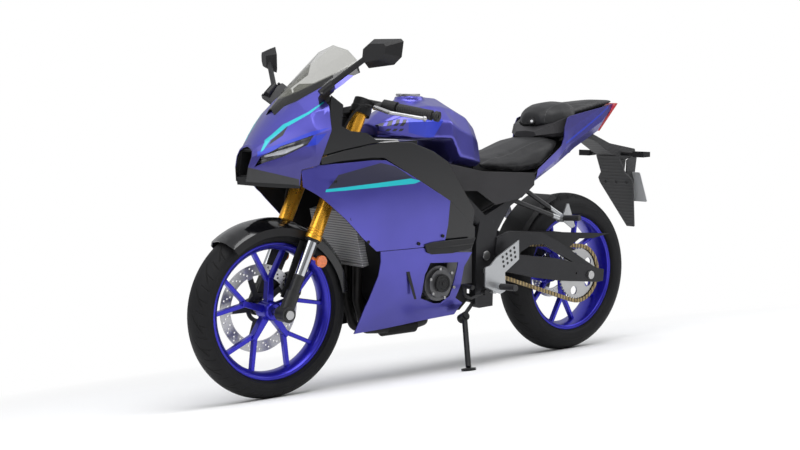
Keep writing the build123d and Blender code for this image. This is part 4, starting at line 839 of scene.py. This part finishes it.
def rimPiece(end, node):
    hub = Vector(bike[end + "Hub"])
    half = wheels[end]["rim"] / 2
    bm = bmesh.new()
    turned(bm, [(230, -half), (229, -half + 4), (218, -half + 9), (211, -half * 0.4),
                (211, half * 0.4), (218, half - 9), (229, half - 4), (230, half),
                (224, half + 2), (214, half - 3), (205, half * 0.5), (203, 0),
                (205, -half * 0.5), (214, -half + 3), (224, -half - 2), (230, -half)],
           hub, (0, 1, 0), steps=wheels["steps"])
    turned(bm, wheels["hub"], hub, (0, 1, 0), steps=48)
    for arm in range(wheels["spokes"]):
        middle = math.radians(wheels[end]["turn"] + arm * 360 / wheels["spokes"])

        def at(radius, offset, y):
            out = Vector((math.cos(middle), 0, math.sin(middle)))
            across = Vector((-math.sin(middle), 0, math.cos(middle)))
            return hub + out * radius + across * offset + Vector((0, y, 0))

        (near, nearHalf, nearY), (far, farHalf, farY) = wheels["root"], wheels["split"]
        slab(bm, [at(near, -nearHalf, nearY), at(near, nearHalf, nearY),
                  at(far, farHalf, farY), at(far, -farHalf, farY)], (0, wheels["spokeDepth"], 0))
        for side in (1, -1):
            (near, nearOff, nearHalf), (far, farOff, farHalf) = wheels["forkFrom"], wheels["forkTo"]
            near, far = Vector((near, side * nearOff)), Vector((far, side * farOff))
            run = (far - near).normalized()
            cross = Vector((-run.y, run.x))
            corners = [near + cross * nearHalf, near - cross * nearHalf,
                       far - cross * farHalf, far + cross * farHalf]
            depth = wheels["forkDepth"]
            slab(bm, [at(corner.x, corner.y, -depth / 2) for corner in corners], (0, depth, 0))
    piece = attach(drawn(bm, node), node + "_piece", bodyOf(node), "wheelBlue",
                   replaces=node, angle=35)
    bevelled(piece, 2.2, 3)


rimPiece("front", "front_rim")
rimPiece("rear", "rear_rim")
tyrePiece("front", "front_tyre")
tyrePiece("rear", "rear_tyre")
print("wheels drawn")


def remeshed(node, voxel, rounds, material, name):
    mesh = drawn(cadCopy(node, 0), name)
    piece = bpy.data.objects.new(name, mesh)
    bpy.context.scene.collection.objects.link(piece)
    remesh = piece.modifiers.new("remesh", "REMESH")
    remesh.mode = "VOXEL"
    remesh.voxel_size = voxel * mm
    applied(piece)
    bm = bmesh.new()
    bm.from_mesh(piece.data)
    for _ in range(rounds):
        bmesh.ops.smooth_vert(bm, verts=bm.verts, factor=0.5,
                              use_axis_x=True, use_axis_y=True, use_axis_z=True)
    bm.to_mesh(piece.data)
    bm.free()
    piece.data.materials.clear()
    piece.data.materials.append(finish[material])
    piece.data.shade_smooth()
    return piece


def applied(piece):
    depsgraph = bpy.context.evaluated_depsgraph_get()
    mesh = bpy.data.meshes.new_from_object(piece.evaluated_get(depsgraph))
    old = piece.data
    piece.modifiers.clear()
    piece.data = mesh
    bpy.data.meshes.remove(old)


pads = {
    "voxel": 6, "smoothing": 9,
    "pressure": 4, "stiffness": 40, "frames": 20,
    "cap": 5,  # how far the cloth may move from the solid, mm
}


def padPiece(node, material):
    piece = remeshed(node, pads["voxel"], pads["smoothing"], material, node + "_pad")
    rest = [vert.co.copy() for vert in piece.data.vertices]
    cloth = piece.modifiers.new("cloth", "CLOTH")
    cloth.settings.use_pressure = True
    cloth.settings.uniform_pressure_force = pads["pressure"]
    cloth.settings.effector_weights.gravity = 0
    cloth.settings.tension_stiffness = pads["stiffness"]
    cloth.settings.compression_stiffness = pads["stiffness"]
    cloth.point_cache.frame_start = 1
    cloth.point_cache.frame_end = pads["frames"]
    for step in range(1, pads["frames"] + 1):
        bpy.context.scene.frame_set(step)
    applied(piece)
    bpy.context.scene.frame_set(1)
    for vert, before in zip(piece.data.vertices, rest):
        move = vert.co - before
        if move.length > pads["cap"] * mm:
            vert.co = before + move.normalized() * pads["cap"] * mm
    piece.data.shade_smooth()
    fine = piece.modifiers.new("fine", "SUBSURF")
    fine.levels = 1
    fine.render_levels = 1
    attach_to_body(piece, bodyOf(node))
    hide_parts(node)


padPiece("rider_seat", "riderVinyl")
padPiece("passenger_seat", "passengerVinyl")
print("seats padded")

tankMesh = {"voxel": 5, "smoothing": 5}
tank = remeshed("fuel_tank", tankMesh["voxel"], tankMesh["smoothing"], "blue", "fuel_tank_piece")
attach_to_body(tank, bodyOf("fuel_tank"))
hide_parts("fuel_tank")
print("tank smoothed")


# Each call names the piece, the solid that it rides with, its finish, what draws it, a slot
# name that is not used, and how far its edges are rounded in mm.
def small(name, node, material, build, slot, bevel=0.4):
    bm = bmesh.new()
    build(bm)
    piece = attach(drawn(bm, name), name, bodyOf(node), material)
    if bevel:
        bevelled(piece, bevel)


def both(build):
    def pair(bm):
        build(bm, 1)
        build(bm, -1)
    return pair


def capScrew(bm, x, y, z, radius, proud):
    side = 1 if y > 0 else -1
    turned(bm, [(0, proud - 1.6), (radius * 0.45, proud - 1.6), (radius * 0.5, proud),
                (radius * 0.8, proud), (radius, proud - 1), (radius, -2), (0, -2)],
           (x, y, z), (0, side, 0), steps=20)


forkTube = {
    "low": 262, "top": 752,  # along the leg, from the hub's height
    "rings": ((262, 27.5, 14), (284, 26.5, 3), (292, 26.5, 3)),  # along, radius, height
}


def forkRings(bm, side):
    for low, radius, height in forkTube["rings"]:
        turned(bm, [(20, 0), (radius, 0), (radius + 0.8, 1), (radius + 0.8, height - 1),
                    (radius, height), (20, height), (20, 0)],
               forkPoint(0, side * bike["legSpread"], low), legAxis, 48)


def forkSeals(bm, side):
    y = side * bike["legSpread"]
    turned(bm, [(19.2, -9), (23, -9), (24.5, -6), (24.5, 0), (19.2, 0), (19.2, -9)],
           forkPoint(0, y, forkTube["low"]), legAxis, 48)
    turned(bm, [(0, 7), (11, 7), (12, 4), (20, 4), (21, 2), (21, -2), (0, -2)],
           forkPoint(0, y, forkTube["top"]), legAxis, 40)


small("fork_collars", "fork_tubes", "gold", both(forkRings), "fork_gold")
small("fork_seals", "fork_tubes", "satinBlack", both(forkSeals), "cast_black")


leverTip = {"place": (300, 338, 925), "radius": 7.5}


def leverBalls(bm, side):
    place, = mirrored([leverTip["place"]], side)
    ball(bm, place, leverTip["radius"])


small("lever_balls", "hand_levers", "alloy", both(leverBalls), "lever_alloy", 0)


barEnd = {"from": (252, 334, 935), "to": (246, 344, 930), "radii": (15, 13), "tip": 8, "proud": 3}


def barEnds(bm, side):
    start, end = mirrored([barEnd["from"], barEnd["to"]], side)
    rod(bm, start, end, *barEnd["radii"])
    rod(bm, end, end + (end - start).normalized() * barEnd["proud"], barEnd["tip"])


small("bar_ends", "grips", "satinBlack", both(barEnds), "black_plastic")


glass = {
    "origin": (480, 262, 0), "across": (-0.36, 0.933, 0), "ahead": (0.933, 0.36, 0),
    "rim": [(8, 1103), (16, 1092), (100, 1101), (124, 1121), (131, 1160), (124, 1168),
            (36, 1169), (12, 1146)],  # across the glass, and height
}


def mirrorGlass(bm, side):
    origin, across, ahead = [Vector(glass[key]) for key in ("origin", "across", "ahead")]
    points = [origin + across * u + Vector((0, 0, z)) - ahead * 1.2 for u, z in glass["rim"]]
    if side < 0:
        points = [Vector((p.x, -p.y, p.z)) for p in points][::-1]
        ahead = Vector((ahead.x, -ahead.y, 0))
    slab(bm, points, ahead * 1.6)


small("mirror_glass", "mirrors", "mirrorGlass", both(mirrorGlass), "fork_chrome", 0.5)


generator = {"centre": (86, 178, 350), "screws": 6, "turn": 20, "ring": (56, 52)}


def statorCap(bm):
    x, y, z = generator["centre"]
    turned(bm, [(0, 5), (18, 5), (20, 3), (24, 3), (25, 5), (30, 5), (32, 2), (32, -3), (0, -3)],
           (x, y, z), (0, 1, 0), 48)
    rod(bm, (x, y + 4, z), (x, y + 8, z), 9, 8, 6)


def statorScrews(bm):
    x, y, z = generator["centre"]
    wide, high = generator["ring"]
    for step in range(generator["screws"]):
        turn = math.radians(step * 360 / generator["screws"] + generator["turn"])
        capScrew(bm, x + wide * math.cos(turn), y - 2, z + high * math.sin(turn), 5, 4)


small("generator_cap", "engine_covers", "blackPlastic", statorCap, "cast_black")
small("generator_screws", "engine_covers", "steel", statorScrews, "bolt_steel", 0)


panelScrew = {
    "places": [(560, 205, 724), (500, 205, 600), (430, 205, 520), (215, 205, 500),
               (108, 205, 520), (120, 205, 640)],
    "radius": 6, "proud": 2,
}


def bodyScrews(bm, side):
    for place in mirrored(panelScrew["places"], side):
        capScrew(bm, *place, panelScrew["radius"], panelScrew["proud"])


small("panel_screws", "side_fairings", "blackPlastic", both(bodyScrews), "black_plastic", 0)


# Flat plates on both sides: distance from the middle, thickness outwards, and (x, z) outline.
plates = {
    "spears": [
        (196, 9, [(188, 495), (156, 501), (62, 504), (-45, 505), (-22, 468), (62, 457), (156, 459),
                  (177, 467)]),
        (203, 4, [(180, 480), (60, 484), (-34, 486), (-30, 481), (60, 478)]),
    ],
    "underSeat": [
        (90, -3, [(-130, 705), (-400, 700), (-440, 775), (-130, 760)]),
        (86, -3, [(-400, 702), (-640, 792), (-640, 850), (-470, 840), (-436, 774)]),
    ],
    "battery": [
        (62, -3, [(-112, 640), (-130, 700), (-330, 690), (-250, 556), (-150, 560)]),
    ],
    "tunnel": [
        (39, -1.5, [(775, 740), (784, 768), (775, 800), (764, 826), (702, 818), (702, 740)]),
    ],
}


def plate(bm, side, y, thick, outline):
    slab(bm, mirrored([(x, y, z) for x, z in outline], side), (0, side * thick, 0))


def plated(choice):
    def build(bm, side):
        for y, thick, outline in plates[choice]:
            plate(bm, side, y, thick, outline)
    return both(build)


def bellySlot(bm, side):
    corners = [(252, 181, 404), (238, 181, 404), (196, 167, 304), (206, 167, 304)]
    slab(bm, mirrored(corners, side), (0, side * 2, 0))


tunnelBars = {"count": 5, "x": 708, "half": 38, "first": 746, "step": 15, "radius": 2}


def intakeTunnel(bm):
    plated("tunnel")(bm)
    slab(bm, [(704, -39, 738), (704, 39, 738), (704, 39, 818), (704, -39, 818)], (-2, 0, 0))
    slab(bm, [(762, -37, 818), (704, -38, 818), (704, 38, 818), (762, 37, 818)], (0, 0, 2))
    x, half = tunnelBars["x"], tunnelBars["half"]
    for row in range(tunnelBars["count"]):
        z = tunnelBars["first"] + row * tunnelBars["step"]
        rod(bm, (x, -half, z), (x, half, z), tunnelBars["radius"], sides=8)


# x of the front edge, by side: the right one stops short of the brake hose at full lock.
trimBackFront = {1: 556, -1: 330}


def trimBack(bm, side):
    front = trimBackFront[side]
    plate(bm, side, 152, -2, [(front, 838), (180, 850), (180, 745), (front, 745)])


mirrorFoot = {
    "base": [(602, 168, 992), (600, 178, 1004), (540, 163, 1043), (528, 154, 1046),
             (530, 148, 1034), (592, 161, 995)],
    "depth": (-21, -25, -23),
    "screws": ((592, 172, 1003), (538, 158, 1041)),
}


def mirrorFeet(bm, side):
    depth, = mirrored([mirrorFoot["depth"]], side)
    slab(bm, mirrored(mirrorFoot["base"], side), depth)
    for place in mirrored(mirrorFoot["screws"], side):
        rod(bm, place, place + Vector((2, side * 5, 4)), 5, sides=6)


innerGuard = {"radius": 334, "from": 14, "to": 70, "halfWidth": 72, "thick": 2.5}


def innerMudguard(bm):
    hub = Vector(bike["rearHub"])
    start = math.radians(innerGuard["from"])
    sweep = math.radians(innerGuard["to"] - innerGuard["from"])
    out = Vector((math.cos(start), 0, math.sin(start)))
    half, radius = innerGuard["halfWidth"], innerGuard["radius"]
    profile = [(radius - 14, -half), (radius, -half + 12), (radius, half - 12), (radius - 14, half)]
    verts = [bm.verts.new(hub + out * reach + Vector((0, y, 0))) for reach, y in profile]
    edges = [bm.edges.new(pair) for pair in zip(verts, verts[1:])]
    bmesh.ops.spin(bm, geom=verts + edges, cent=hub, axis=(0, -1, 0), angle=sweep, steps=18)
    bmesh.ops.recalc_face_normals(bm, faces=bm.faces)
    bmesh.ops.solidify(bm, geom=bm.faces, thickness=innerGuard["thick"])


for row in (
    ("battery_sides", "rear_frame", "blackPlastic", plated("battery"), "frame_black", 0.5),
    ("inner_mudguard", "swingarm", "blackPlastic", innerMudguard, "frame_black", 0),
    ("lower_spears", "side_fairings", "satinBlack", plated("spears"), "black_plastic", 2),
    ("belly_slots", "belly_pans", "blackPlastic", both(bellySlot), "black_plastic", 0.5),
    ("under_seat_panels", "rear_frame", "blackPlastic", plated("underSeat"), "frame_black", 0.5),
    ("intake_tunnel", "nose_duct", "blackPlastic", intakeTunnel, "black_plastic", 0.3),
    ("trim_backs", "fairing_trim", "blackPlastic", both(trimBack), "black_plastic", 0.3),
    ("mirror_feet", "mirrors", "satinBlack", both(mirrorFeet), "black_plastic", 0.8),
):
    small(*row)


lock = {"place": (-500, 14, 912), "axis": (0.8, 0.5, 0.33)}


def lockRing(bm):
    turned(bm, [(4, 1), (8, 1), (9, 3), (11, 3), (12, 1), (12, -8), (4, -8), (4, 1)],
           lock["place"], lock["axis"], 40)


def lockBarrel(bm):
    turned(bm, [(0, 2), (5, 2), (6, 1), (6, -8), (0, -8)], lock["place"], lock["axis"], 32)


small("pillion_lock_ring", "passenger_seat", "satinBlack", lockRing, "black_plastic", 0)
small("pillion_lock", "passenger_seat", "alloy", lockBarrel, "lever_alloy", 0)


def honeycombDisc(bm, side):
    turned(bm, [(0, 1.5), (17, 1.5), (19, 3), (21, 1), (21, -3), (0, -3)],
           (135, side * 123, 907), (0, side, 0.12), 40)


small("honeycomb_discs", "tank_panels", "blackPlastic", both(honeycombDisc), "black_plastic", 0)


def topNuts(bm, side):
    turned(bm, [(0, 8), (7, 8), (8, 7), (14, 7), (16, 5), (16, 0), (0, 0)],
           forkPoint(0, side * bike["legSpread"], forkTube["top"]), legAxis, 6)


small("fork_top_nuts", "fork_clamps", "steel", both(topNuts), "bolt_steel", 0.5)

print("small pieces drawn")


studio = {
    "floor": 0.9,
    "floorRadius": 9,
    "skyStrength": 0.8,
    "sky": ((0.02, 0.3), (0.75, 1.0)),
    "aim": (0, 0, 0.6),  # where the lamps look
    "fadeFrom": 1.5,
    "fadeTo": 2.7,
    "key": {"place": (0.6, 1.6, 3.6), "size": 3.0, "power": 95},
    "fill": {"place": (3.4, 0.4, 2.2), "size": 2.4, "power": 26},
    "back": {"place": (-3.0, 1.6, 2.6), "size": 2.5, "power": 34},
}


def studioFloor():
    bm = bmesh.new()
    bmesh.ops.create_circle(bm, cap_ends=True, segments=96, radius=studio["floorRadius"])
    bmesh.ops.translate(bm, verts=bm.verts, vec=(0, 0, cadBounds[0][2] - 0.0005))
    mesh = bpy.data.meshes.new("floor")
    bm.to_mesh(mesh)
    bm.free()
    w = Wiring("studioFloor", rough=0.9, color=(studio["floor"],) * 3)
    x, y, _ = w.axes(w.node("ShaderNodeTexCoord", out=w.objectPlace))
    near, far = studio["fadeFrom"], studio["fadeTo"]
    faded = (x * x + y * y).math("SQRT").above((near + far) / 2, (far - near) / 2)
    seen = w.node("ShaderNodeLightPath", out=0)
    white = w.node("ShaderNodeEmission", None, {0: (1, 1, 1, 1), 1: 1.0})
    base = Sock(w, w.shader.outputs[0])
    mixed = w.node("ShaderNodeMixShader", None, {0: faded * seen, 1: base, 2: white})
    w.tree.links.new(mixed.socket, w.tree.nodes["Material Output"].inputs[0])
    mesh.materials.append(w.material)
    floor = bpy.data.objects.new("floor", mesh)
    bpy.context.scene.collection.objects.link(floor)


def studioWorld():
    world = bpy.data.worlds.new("studio")
    bpy.context.scene.world = world
    world.use_nodes = True
    tree = world.node_tree
    add, link = tree.nodes.new, tree.links.new
    light = tree.nodes["Background"]
    light.inputs[1].default_value = studio["skyStrength"]
    spot = add("ShaderNodeTexCoord")
    split = add("ShaderNodeSeparateXYZ")
    sky = add("ShaderNodeValToRGB")
    for element, (place, tone) in zip(sky.color_ramp.elements, studio["sky"]):
        element.position = place
        element.color = (tone * 0.97, tone * 0.98, tone, 1)
    link(spot.outputs["Generated"], split.inputs[0])
    link(split.outputs[2], sky.inputs[0])
    link(sky.outputs[0], light.inputs[0])
    white = add("ShaderNodeBackground")
    white.inputs[0].default_value = (1, 1, 1, 1)
    white.inputs[1].default_value = 1.0
    path = add("ShaderNodeLightPath")
    seen = add("ShaderNodeMath")
    seen.operation = "MAXIMUM"
    link(path.outputs["Is Camera Ray"], seen.inputs[0])
    link(path.outputs["Is Transmission Ray"], seen.inputs[1])
    mix = add("ShaderNodeMixShader")
    link(seen.outputs[0], mix.inputs[0])
    link(light.outputs[0], mix.inputs[1])
    link(white.outputs[0], mix.inputs[2])
    link(mix.outputs[0], tree.nodes["World Output"].inputs[0])


def studioLamps():
    for name in ("key", "fill", "back"):
        choice = studio[name]
        data = bpy.data.lights.new(name, "AREA")
        data.energy = choice["power"]
        data.shape = "DISK"
        data.size = choice["size"]
        lamp = bpy.data.objects.new(name, data)
        bpy.context.scene.collection.objects.link(lamp)
        lamp.location = choice["place"]
        aim = Vector(studio["aim"]) - lamp.location
        lamp.rotation_euler = aim.to_track_quat("-Z", "Y").to_euler()


view = {"azimuth": 141.716, "elevation": 5.226, "place": (2.8289, 3.4119, 0.9428), "lens": 55.02}


def studioCamera():
    a, e = math.radians(view["azimuth"]), math.radians(view["elevation"])
    back = Vector((math.sin(a) * math.cos(e), -math.cos(a) * math.cos(e), math.sin(e)))
    right = Vector((math.cos(a), math.sin(a), 0))
    up = back.cross(right)
    turn = Matrix((right, up, back)).transposed().to_4x4()
    data = bpy.data.cameras.new("camera")
    data.lens = view["lens"]
    data.sensor_width = 36
    camera = bpy.data.objects.new("camera", data)
    bpy.context.scene.collection.objects.link(camera)
    camera.matrix_world = parked @ Matrix.Translation(Vector(view["place"])) @ turn
    bpy.context.scene.camera = camera


studioFloor()
studioWorld()
studioLamps()
studioCamera()
bpy.context.scene.view_settings.view_transform = "Standard"
print("studio ready")
